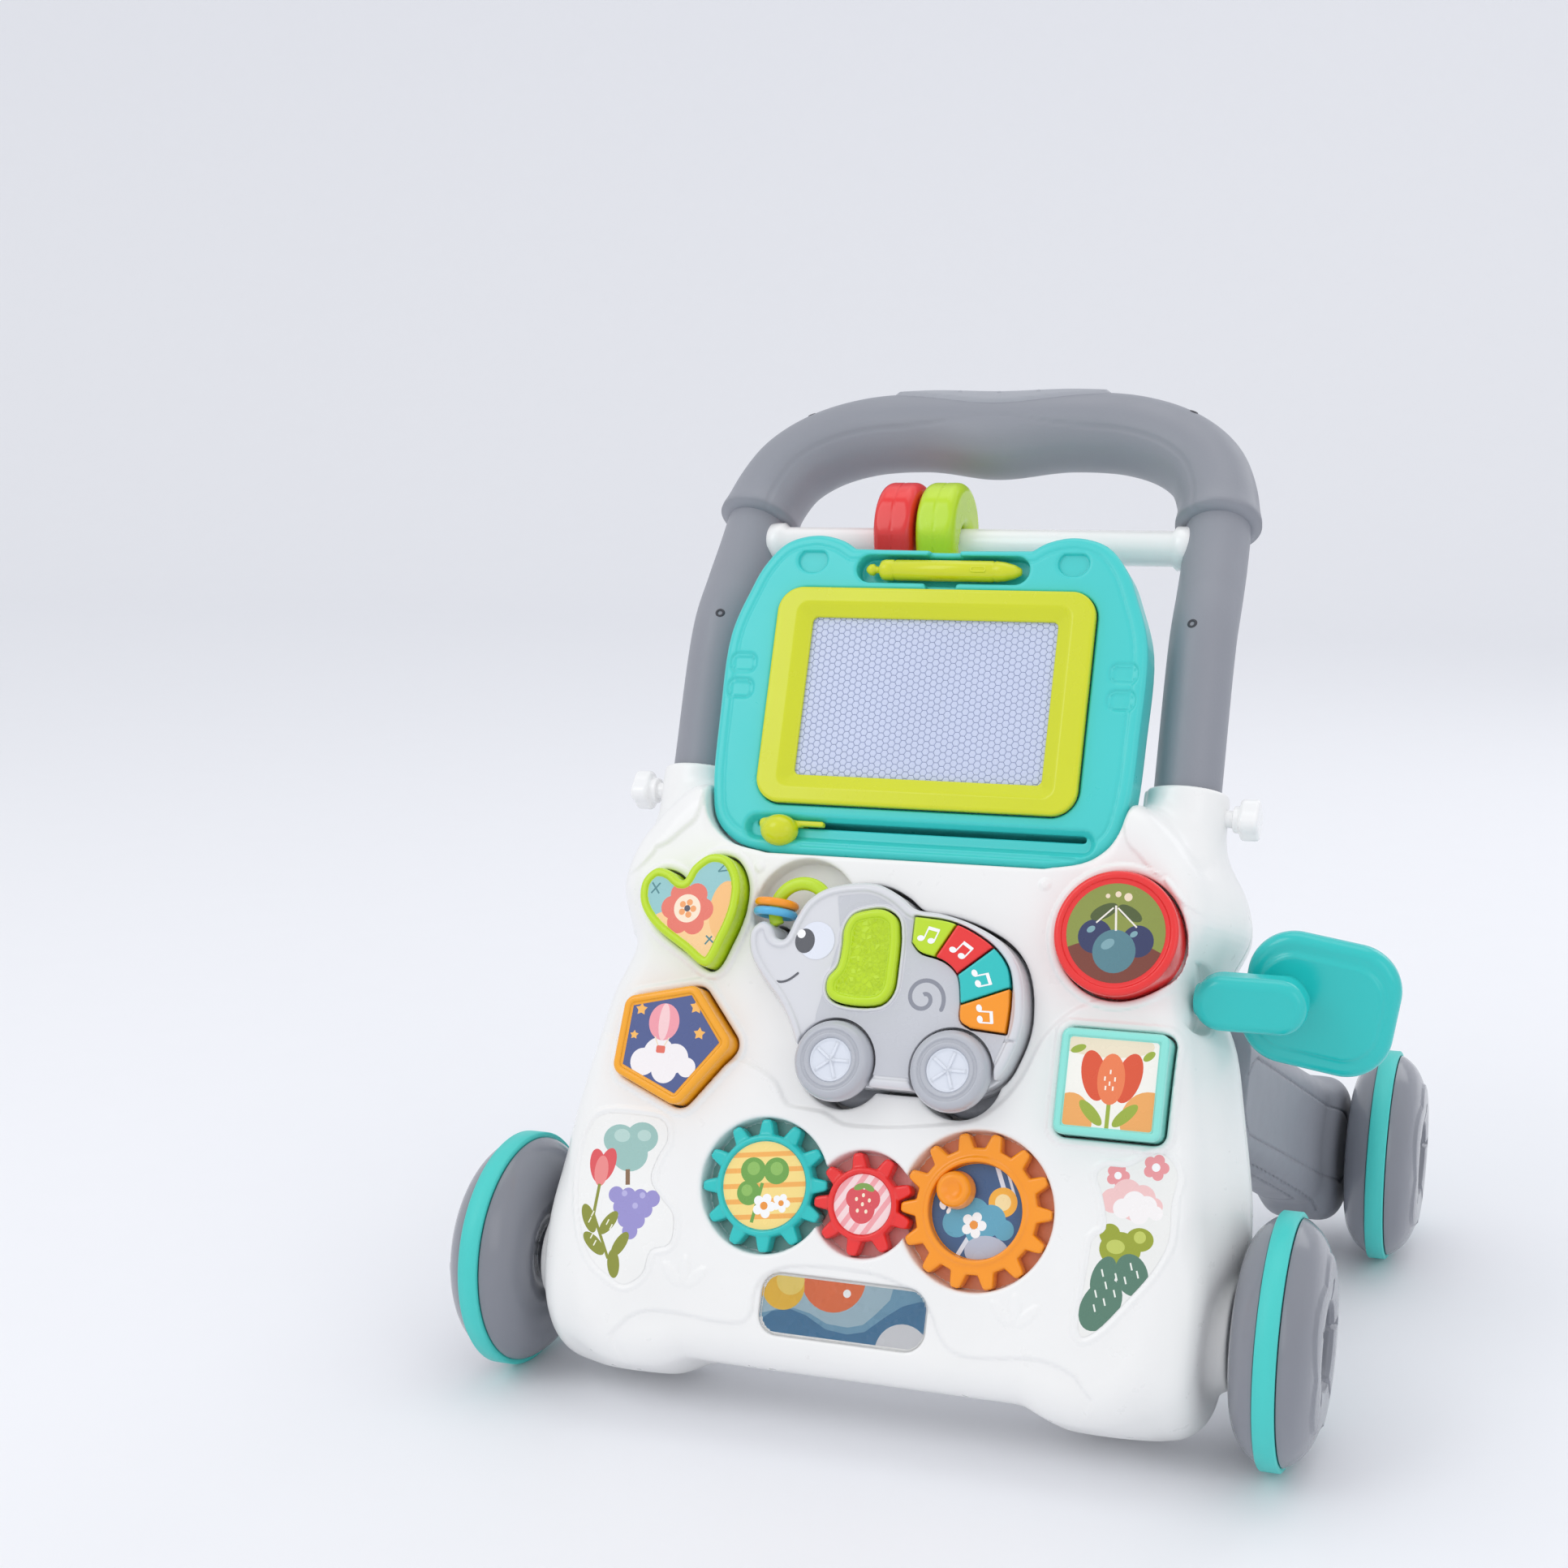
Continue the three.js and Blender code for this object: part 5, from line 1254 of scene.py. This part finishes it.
# ---- small screws in the handle ----
def make_handle_screws():
    ring = [(0, -0.5), (1.0, -0.5), (1.15, 0.35), (1.9, 0.3), (2.5, -0.3)]
    spots = [(117.9, -10.9, 349.2), (95.7, 68.6, 437.4)]
    for i, (x, y, z) in enumerate(spots):
        for side in (1, -1):
            nearest = min(AXIS, key=lambda p: math.dist(p, (x * side, y, z)))
            out = (Vector((x * side, y, z)) - Vector(nearest)).normalized()
            radius = 15.5 if i == 0 else 19.4
            place = WORLD @ Matrix.Translation(Vector(nearest) + out * radius) @ out.to_track_quat(
                "Z", "Y").to_matrix().to_4x4()
            name = f"handle_screw_{i + 1}_{'right' if side > 0 else 'left'}"
            put(lathe(name, ring, place, 32), DARK, "body")


# ---- printed pictures: flat coloured shapes, later ones on top ----
def oval(cx, cy, rx, ry=None, turn=0.0, count=30):
    ry = rx if ry is None else ry
    out = []
    for i in range(count):
        a = 2 * math.pi * i / count
        u, v = rx * math.cos(a), ry * math.sin(a)
        out.append((cx + u * math.cos(turn) - v * math.sin(turn), cy + u * math.sin(turn) + v * math.cos(turn)))
    return out


def star(cx, cy, radius, turn=0.0):
    angles = [turn + math.pi * i / 5 for i in range(10)]
    return [(cx + radius * (1 if i % 2 == 0 else 0.55) * math.sin(a),
             cy + radius * (1 if i % 2 == 0 else 0.55) * math.cos(a)) for i, a in enumerate(angles)]


def bar(x0, y0, x1, y1, width):
    length = math.hypot(x1 - x0, y1 - y0)
    dx, dy = -(y1 - y0) / length * width / 2, (x1 - x0) / length * width / 2
    return [(x0 + dx, y0 + dy), (x0 - dx, y0 - dy), (x1 - dx, y1 - dy), (x1 + dx, y1 + dy)]


def ribbon(points, width):
    """A line of even width along points, round at its last end."""
    p = np.array(points, float)
    along = np.gradient(p, axis=0)
    along /= np.hypot(*along.T)[:, None]
    off = np.stack([-along[:, 1], along[:, 0]], 1) * width / 2
    cap = [tuple(p[-1] + math.cos(t) * off[-1] + math.sin(t) * along[-1] * width / 2)
           for t in np.linspace(0.3, math.pi - 0.3, 5)]
    return [tuple(q) for q in p + off] + cap + [tuple(q) for q in (p - off)[::-1]]


def inset(points, distance):
    """The outline moved inwards."""
    p = np.array(points)
    area = 0.5 * np.sum(p[:, 0] * np.roll(p[:, 1], -1) - np.roll(p[:, 0], -1) * p[:, 1])
    along = np.roll(p, -1, 0) - np.roll(p, 1, 0)
    along /= np.hypot(*along.T)[:, None]
    inward = np.stack([-along[:, 1], along[:, 0]], 1) * (1 if area > 0 else -1)
    return [tuple(q) for q in p + inward * distance]


def flower(cx, cy, reach, petal, count=5, turn=0.0):
    return [oval(cx + reach * math.cos(a), cy + reach * math.sin(a), petal, count=20)
            for a in [turn + 2 * math.pi * i / count for i in range(count)]]


def picture(name, layers, depth, body, level=None):
    """One mesh of triangles; the first layer bounds the rest, and colour None leaves a hole.
    With a level, the sheet lies that far above the panel and depth above the level."""
    points, edges = [], []
    for _, outline in layers:
        first = len(points)
        points += [Vector(p) for p in outline]
        edges += [(first + i, first + (i + 1) % len(outline)) for i in range(len(outline))]
    if level:
        (x0, y0), (x1, y1) = np.min(layers[0][1], axis=0), np.max(layers[0][1], axis=0)
        points += [Vector((x, y)) for x in np.arange(x0, x1, 1.7) for y in np.arange(y0, y1, 1.7)]
    cut = geometry.delaunay_2d_cdt(points, edges, [], 0, 1e-4)
    flat = np.array([tuple(p) for p in cut[0]])
    faces = np.array(cut[2])
    middle = flat[faces].mean(axis=1)
    finish = np.zeros(len(faces), int)
    for index, (_, outline) in enumerate(layers):
        finish[polygon(middle[:, 0], middle[:, 1], outline) < 0] = index
    bounded = polygon(middle[:, 0], middle[:, 1], layers[0][1]) < 0
    filled = np.array([layers[i][0] is not None for i in range(len(layers))])
    keep = bounded & filled[finish]
    heights = level(*flat.T) + depth if level else np.full(len(flat), depth)
    sheet = mesh_of(name, np.column_stack([flat, heights]), faces[keep], PANEL)
    colours = sorted({layers[i][0] for i in finish[keep]})
    for colour in colours:
        sheet.data.materials.append(plastic(colour, 0.27, grain=0.03, coat=0.25, variation=0.05))
    sheet.data.polygons.foreach_set("material_index",
                                    np.array([colours.index(layers[i][0]) for i in finish[keep]], np.int32))
    return put(sheet, None, body)


def pack_layers(*groups):
    """(colour, outline or list of outlines) pairs as single layers."""
    layers = []
    for colour, shapes in groups:
        several = isinstance(shapes[0][0], (list, tuple))
        layers += [(colour, shape) for shape in (shapes if several else [shapes])]
    return layers


def heart_print():
    ground = oval(-104, 222, 30, 20, 0.5)
    sprigs = [bar(-84, 262, -80, 267, 0.7), bar(-84, 262, -79, 263, 0.7), bar(-116, 250, -112, 255, 0.8),
              bar(-112, 250, -116, 255, 0.8), bar(-86, 228, -83, 232, 0.8), bar(-86, 232, -82, 229, 0.8)]
    return pack_layers(("8FC5C8", inset(HEART, 4.0)), ("F9CC90", ground), ("F7BE78", oval(-78, 244, 8, 14)),
                       ("E8715F", flower(-97, 244, 7.6, 5.4, 6)), ("FBE6CC", oval(-97, 244, 6.6)),
                       ("F3A05E", flower(-97, 244, 3, 1.5, 5)), ("4A4A58", oval(-97, 244, 1.5)),
                       ("3E7F86", sprigs))


def cloud(cx, cy, size):
    return [oval(cx + size * dx, cy + size * dy, size * r) for dx, dy, r in
            ((-1.1, -0.1, 0.7), (-0.3, 0.35, 0.85), (0.6, 0.2, 0.75), (1.3, -0.2, 0.5), (0.1, -0.4, 0.7))]


def pentagon_print():
    """A balloon over a cloud at night."""
    middle = np.mean(PENTAGON, axis=0)
    edge = [tuple(middle + (np.array(p) - middle) * 0.80) for p in PENTAGON]
    return pack_layers(("4B5A90", edge), ("F7F2F3", cloud(-99, 173, 9)),
                       ("F49FAB", oval(-101, 191, 7.5, 8.5)), ("FBD0D2", oval(-101, 191, 2.6, 8.5)),
                       ("FDBB5C", [star(-86, 199, 3.4), star(-83, 187, 3), star(-113, 196, 3), star(-115, 184, 2.2)]),
                       ("F3DFC4", [bar(-104.5, 184, -102.5, 180, 0.6), bar(-97.5, 184, -99.5, 180, 0.6)]),
                       ("E8715F", rounded(-101, 178.4, 4.4, 3.4, 0.8)))


def round_print():
    """Plums under two leaves."""
    cx, cy = 104, 246
    return pack_layers(("8C9743", oval(cx, cy, 21.8, count=60)), ("7A3B2C", oval(cx, cy - 24, 34, 21)),
                       ("2E3762", [oval(95, 244, 7.5), oval(114, 243, 7)]), ("55838F", oval(cx, 238, 9.5)),
                       ("7FA9B2", [oval(101, 241, 3.2, 2, 0.6), oval(93, 247, 2, 1.3, 0.6)]),
                       ("7FA9B2", oval(112, 246, 1.8, 1.2, 0.6)),
                       ("4D5C2E", [oval(98, 255, 6.5, 3, 0.5), oval(109.5, 255, 6, 2.7, -0.5)]),
                       ("F5EEE6", [bar(cx, 247, 103, 258, 0.9), bar(95, 250, 102, 257, 0.7),
                                   bar(113, 249, 104, 257, 0.7)]),
                       ("F3DFC4", [oval(108, 262, 1.8), oval(103.5, 263, 1.3), oval(99, 262, 1)]))


def rounded(cx, cy, width, height, radius, count=6):
    out = []
    for sx, sy, start in ((1, -1, -0.5), (1, 1, 0), (-1, 1, 0.5), (-1, -1, 1)):
        for i in range(count + 1):
            a = math.pi * (start + 0.5 * i / count)
            out.append((cx + sx * (width / 2 - radius) + radius * math.cos(a),
                        cy + sy * (height / 2 - radius) + radius * math.sin(a)))
    return out


def square_print():
    petals = [oval(101, 184, 5.5, 11, 0.25), oval(116, 184, 5.5, 11, -0.25)]
    seeds = [bar(108 + dx, 184 + dy, 108 + dx, 182.2 + dy, 0.7) for dx, dy in
             ((0, 3), (-2.2, 0), (2.2, 0), (0, -2), (-1.6, -4), (1.6, -4))]
    return pack_layers(("F8F6EE", rounded(108.5, 181, 39, 38, 1.5)), ("EFE3C8", [oval(104, 198, 22, 6)]),
                       ("F2AC60", [oval(92, 163, 10, 13), oval(126, 166, 12, 13)]),
                       ("9DB23C", [bar(108.5, 175, 108.5, 162, 1.8), oval(101, 168, 2.6, 7, 0.8),
                                   oval(116, 168, 2.6, 7, -0.8)]),
                       ("E0532F", petals), ("F07F4E", oval(108.5, 183, 6, 11)), ("FFF6E6", seeds),
                       ("9DB23C", [oval(93, 195, 3.5, 1.6, 0.4), oval(124, 194, 3, 1.6, 0.7)]))


def teal_gear_print():
    c = GEARS["teal"][0]
    stripes = [bar(c.x - 22, c.y + k, c.x + 22, c.y + k + 6, 2.2) for k in range(-24, 22, 7)]
    return pack_layers(("FFE08A", oval(c.x, c.y, 19.7, count=60)), ("F9B45A", stripes),
                       ("6FA74A", [oval(c.x - 6, c.y + 6, 6), oval(c.x + 5, c.y + 7, 6), oval(c.x - 7, c.y - 4, 5.6),
                                   bar(c.x - 1, c.y + 1, c.x - 4, c.y - 17, 1.6)]),
                       ("8FC060", [oval(c.x - 6, c.y + 7, 3), oval(c.x + 5, c.y + 8, 3), oval(c.x - 8, c.y - 3, 2.6)]),
                       ("FFFFFF", flower(c.x + 1, c.y - 9, 3.4, 2.2)), ("F39A3C", oval(c.x + 1, c.y - 9, 1.8)),
                       ("FFFFFF", flower(c.x + 9, c.y - 7, 2.6, 1.7)), ("F39A3C", oval(c.x + 9, c.y - 7, 1.3)))


def red_gear_print():
    c = GEARS["red"][0]
    stripes = [bar(c.x - 16 + k, c.y - 16, c.x + 4 + k, c.y + 16, 2.4) for k in range(-14, 18, 6)]
    berry = [oval(c.x - 3, c.y + 2.4, 5), oval(c.x + 3, c.y + 2.4, 5), oval(c.x, c.y - 2, 6, 6.6)]
    seeds = [oval(c.x + dx, c.y + dy, 0.7, 0.9) for dx, dy in ((-3, 2), (0, 0), (3, 2), (-2, -3), (2, -3), (0, 4))]
    return pack_layers(("F9DCDD", oval(c.x, c.y, 13.3, count=48)), ("F4A6AC", stripes), ("DE4F58", berry),
                       ("FCEBD0", seeds), ("7FA650", [oval(c.x - 2, c.y + 7.6, 3, 1.4, 0.4),
                                                      oval(c.x + 2, c.y + 7.6, 3, 1.4, -0.4)]))


def orange_gear_print():
    """Sun, cloud and a flower under slanting rain."""
    c = GEARS["orange"][0]
    rain = [bar(c.x + 6, c.y + 22, c.x + 12, c.y + 8, 2), bar(c.x + 11, c.y + 20, c.x + 16, c.y + 8, 1.2),
            bar(c.x - 8, c.y - 22, c.x - 3, c.y - 12, 2)]
    return pack_layers(("3D5C88", oval(c.x, c.y, 20.7, count=60)), ("DDE3EE", rain),
                       ("F8B53C", oval(c.x + 11, c.y + 5, 6.5)), ("FCE3A8", oval(c.x + 11, c.y + 5, 3.6)),
                       ("61A8C3", cloud(c.x + 1, c.y - 5, 9)), ("B9C0D2", oval(c.x + 6, c.y - 17, 10, 7)),
                       ("FFFFFF", flower(c.x - 1, c.y - 6, 3.6, 2.2)), ("F39A3C", oval(c.x - 1, c.y - 6, 1.9)),
                       ("FFFFFF", [oval(c.x - 16, c.y + 1, 1.4, 2, 0.5), oval(c.x - 13, c.y - 1, 0.9, 1.5, -0.4)]))


def window_print():
    wave = [(-43, 62), (-36, 68), (-28, 70), (-20, 68), (-10, 63), (0, 62), (8, 64), (16, 71), (24, 77), (32, 80),
            (37, 79), (37, 90), (-43, 90)]
    crest = [(-43, 66), (-34, 69), (-26, 70.5), (-18, 69), (-10, 65.5), (0, 65), (7, 67), (12, 72), (18, 79),
             (20, 90), (-43, 90)]
    return pack_layers(("3F749B", rounded(-3, 71.5, 76, 26, 8)), ("6F9DB8", wave), ("A3BECB", crest),
                       ("E8703F", oval(-9, 85, 15, 14.5)), ("FFFFFF", oval(-2, 79.5, 1.8)),
                       ("F0BC36", oval(-32, 79, 10)), ("F3D56C", oval(-29, 82.5, 6.6)),
                       ("D5D6DA", oval(26, 57, 12.5)))


def left_sticker_print():
    seeds = [bar(-129 + dx, 92 + dy, -128 + dx, 94.5 + dy, 0.6) for dx, dy in
             ((0, 5), (1, 8), (9, 5), (11, 3), (4, -5), (2, -2))]
    grapes = [oval(-111 + 6 * column + 3 * row, 111 - 5.2 * row, 3.8) for row in range(4)
              for column in range(-1, 3 - row)]
    return pack_layers(("F4F4F2", LEFT_STICKER),
                       ("9CC4BE", [oval(-119, 136, 8, 7), oval(-108, 138, 8, 7), oval(-113, 130, 9, 8)]),
                       ("B9D8D2", [oval(-118, 138, 4, 3), oval(-107, 139, 3.4, 2.6)]),
                       ("8A6A4E", bar(-113, 123, -112, 116, 2.2)),
                       ("E2555A", [oval(-128, 123, 4, 8, 0.25), oval(-123.5, 124, 4, 8, -0.25)]),
                       ("F08C8A", oval(-126, 121, 3.4, 7)), ("8C9234", bar(-126, 115, -127, 101, 1.5)),
                       ("9A93CF", grapes), ("B9B4E2", [oval(-113, 112, 1.4), oval(-107, 107, 1.4), oval(-104, 112, 1.4)]),
                       ("8C9234", [bar(-127, 101, -117, 82, 1.4), oval(-129, 99, 3, 7, 0.5),
                                   oval(-119, 98, 2.8, 6.5, -0.6), oval(-125, 88, 3, 7, 0.9),
                                   oval(-112, 89, 2.8, 6.5, -0.5), oval(-114, 80, 3, 6.5, 0.2)]),
                       ("F4F4E0", seeds))


def right_sticker_print():
    seeds = [bar(110 + dx, 85 + dy, 109 + dx, 88 + dy, 0.7) for dx, dy in
             ((0, 0), (4, 3), (0, 6), (8, 7), (4, 10), (12, 13), (8, 14), (14, 19), (17, 16), (2, 15))]
    return pack_layers(("F1F1EE", RIGHT_STICKER),
                       ("EE9A9E", flower(114, 143, 3, 2.2) + flower(130, 148, 3.2, 2.5)),
                       ("FFFFFF", [oval(114, 143, 1.6), oval(130, 148, 1.8)]),
                       ("F6C9C8", cloud(121, 133, 7.5)), ("FBF6F5", cloud(124, 130, 6)),
                       ("9BA62E", [oval(118, 112, 9, 7.5), oval(126, 117, 6, 5), oval(113, 118, 4.5)]),
                       ("C5CF62", [oval(116, 113, 4, 3), oval(126, 118, 2.6)]),
                       ("567F6C", [oval(124, 102, 7, 9, 0.4), oval(112, 100, 5, 9, -0.3), oval(112, 88, 8, 12, -0.5)]),
                       ("F2F6EE", seeds))


def toy_print():
    turns = np.linspace(0.3, 5.2 * math.pi / 2 + 0.6, 60)
    coil = [(22 + (1.2 + 0.98 * t) * math.cos(-t + 2.0), 211 + (1.2 + 0.98 * t) * math.sin(-t + 2.0)) for t in turns]
    smile = [(-48 + 10 * t, 214.5 - 2.6 * math.sin(math.pi * (0.15 + 0.75 * t)) + 4 * t) for t in np.linspace(0, 1, 12)]
    head_side = [(-90, 268), (-26, 268), (-20, 236), (-27, 200), (-27, 160), (-90, 160)]
    arches = [oval(axle.x, axle.y, TOY_WHEEL_RADIUS + 1.4, count=40) for axle in TOY_AXLES]
    return pack_layers((None, [(-70, 160), (90, 160), (90, 268), (-70, 268)]),
                       ("C9CBD2", inset(ELEPHANT, 5.4)), (None, head_side),
                       ("8D909C", ribbon(coil, 1.9)), (None, arches), (None, inset(EAR, -2.6)),
                       (None, inset(KEY_OUTER + KEY_INNER[::-1], -0.6)),
                       ("E6EAF6", oval(-31, 233, 8.6)), ("56585F", oval(-36.5, 232.5, 4.7, 5.6)),
                       ("FFFFFF", oval(-38.6, 235.6, 2)), ("5A5C64", ribbon(smile, 1.0)))


def note_shapes(cx, cy, turn, size=1.0):
    """A pair of joined notes."""
    def at(u, v):
        return (cx + size * (u * math.cos(turn) - v * math.sin(turn)),
                cy + size * (u * math.sin(turn) + v * math.cos(turn)))
    heads = [oval(*at(u, v), 1.25 * size, 0.95 * size, turn + 0.4, 16) for u, v in ((-1.9, -2), (1.7, -1.4))]
    stems = [bar(*at(-0.9, -2), *at(-0.9, 2.4), 0.5 * size), bar(*at(2.7, -1.4), *at(2.7, 3), 0.5 * size)]
    return heads + stems + [bar(*at(-1.1, 2.1), *at(2.9, 2.7), 1.1 * size)]


def make_key_notes():
    for index in range(4):
        outline = np.array(key_outline(index))
        cx, cy = outline.mean(axis=0)
        frame_outline = inset(key_outline(index), 1.2)
        turn = (-0.35, -0.7, -1.3, -1.55)[index]
        layers = pack_layers((None, frame_outline), ("FFFFFF", note_shapes(cx, cy, turn, 1.35)))
        picture(f"key_{index + 1}_note", layers, TOY_FACE + 1.26, f"key_{index + 1}")


def make_pictures():
    block_depth = BLOCK_FRONT - 1.1 + 0.12
    for name, layers in (("heart", heart_print()), ("pentagon", pentagon_print()), ("round", round_print()),
                         ("square", square_print())):
        picture(name + "_picture", layers, block_depth, name + "_block")
    for name, layers, depth in (("teal", teal_gear_print(), -0.88), ("red", red_gear_print(), -0.88),
                                ("orange", orange_gear_print(), -4.45)):
        picture(f"gear_{name}_picture", layers, depth, name + "_gear")
    picture("window_picture", window_print(), -3.38, "body")
    picture("left_sticker", left_sticker_print(), 0.15, "body", face_level((-142, 66), (-84, 152)))
    picture("right_sticker", right_sticker_print(), 0.15, "body", face_level((98, 68), (144, 158)))
    picture("toy_print", toy_print(), TOY_FACE - 1.05, "toy")
    for name, colour in (("teal", "86B4AE"), ("red", "EDA7A2"), ("orange", "F09B6C")):
        centre, teeth = GEARS[name][:2]
        floor = oval(centre.x, centre.y, teeth * GEAR_MODULE / 2 + 2.7, count=64)
        picture(f"well_{name}_floor", [(colour, floor)], WELL_DEPTH + 0.12, "body")
    make_key_notes()


# ---- studio: floor, lights, camera ----
def make_floor():
    profile = [(-6.0, 0.0), (3.2, 0.0)]
    profile += [(3.2 + 1.6 * math.sin(a), 1.6 - 1.6 * math.cos(a)) for a in np.linspace(0.1, math.pi / 2, 14)]
    profile += [(4.8, 6.0)]
    points = [(x, y, z) for y, z in profile for x in (-7.0, 7.0)]
    faces = [(2 * i, 2 * i + 1, 2 * i + 3, 2 * i + 2) for i in range(len(profile) - 1)]
    floor = mesh_of("studio_floor", points, faces, Matrix.Identity(4))
    floor.data.materials.append(plastic("F3F4F8", 0.6, grain=0.02, variation=0.005))


def add_light(name, place, aim, size, power, colour=(1, 1, 1)):
    light = bpy.data.lights.new(name, "AREA")
    light.shape = "RECTANGLE"
    light.size, light.size_y = size
    light.energy = power
    light.color = colour
    obj = bpy.data.objects.new(name, light)
    obj.location = place
    obj.rotation_euler = (Vector(aim) - Vector(place)).to_track_quat("-Z", "Y").to_euler()
    bpy.context.collection.objects.link(obj)


def make_lights():
    world = bpy.data.worlds.new("studio_air")
    world.use_nodes = True
    world.node_tree.nodes["Background"].inputs["Color"].default_value = (0.965, 0.975, 1.0, 1)
    world.node_tree.nodes["Background"].inputs["Strength"].default_value = 0.88
    bpy.context.scene.world = world
    add_light("key_softbox", (-1.3, -1.7, 2.1), (0, -0.05, 0.2), (1.1, 1.5), 9)
    add_light("fill_softbox", (1.9, -1.5, 1.2), (0, 0, 0.2), (0.9, 1.6), 3)
    add_light("top_softbox", (0.1, 0.3, 2.4), (0, 0, 0.2), (1.8, 1.2), 5)
    add_light("rim_softbox", (1.0, 1.7, 1.4), (0, 0, 0.25), (1.0, 1.2), 4)


def make_camera():
    eye, aim = Vector((0.2999, -0.9676, 0.4510)), Vector((0.0261, -0.124, 0.2272))
    forward = (aim - eye).normalized()
    right = forward.cross(Vector((0, 0, 1))).normalized()
    up = right.cross(forward)
    roll = -0.00958
    tilted_right = math.cos(roll) * right + math.sin(roll) * up
    tilted_up = -math.sin(roll) * right + math.cos(roll) * up
    data = bpy.data.cameras.new("viewer")
    data.sensor_width, data.lens = 36, 48.20
    data.shift_x, data.shift_y = -0.0952, 0.0952
    data.clip_start, data.clip_end = 0.05, 50
    camera = bpy.data.objects.new("viewer", data)
    camera.matrix_world = Matrix.Translation(eye) @ Matrix(
        (tilted_right, tilted_up, -forward)).transposed().to_4x4()
    bpy.context.collection.objects.link(camera)
    bpy.context.scene.camera = camera
    bpy.context.scene.view_settings.view_transform = "Standard"


def keep_cad_nodes():
    """The CAD nodes whose own shapes stay get their materials."""
    for node, material in (("front_axle", STEEL), ("rear_axle_right", STEEL), ("rear_axle_left", STEEL),
                           ("toy_axle_front", STEEL), ("toy_axle_rear", STEEL), ("toy_circuit_board", CIRCUIT),
                           ("toy_battery_cover", TOY_WHITE), ("picture_window", clear())):
        obj = frame["nodes"][node]
        obj.data.materials.clear()
        obj.data.materials.append(material)


for make in (make_camera, make_lights, make_floor, keep_cad_nodes, make_body, make_body_screws, make_blocks,
             make_gears, make_toy_shells, make_toy_buttons, make_toy_wheels, make_toy_hoop, make_board_frame,
             make_bezel, make_screen, make_pen, make_eraser, make_hooks, make_handle, make_handle_screws,
             make_legs, make_wheels, make_mirror, make_pictures):
    make()
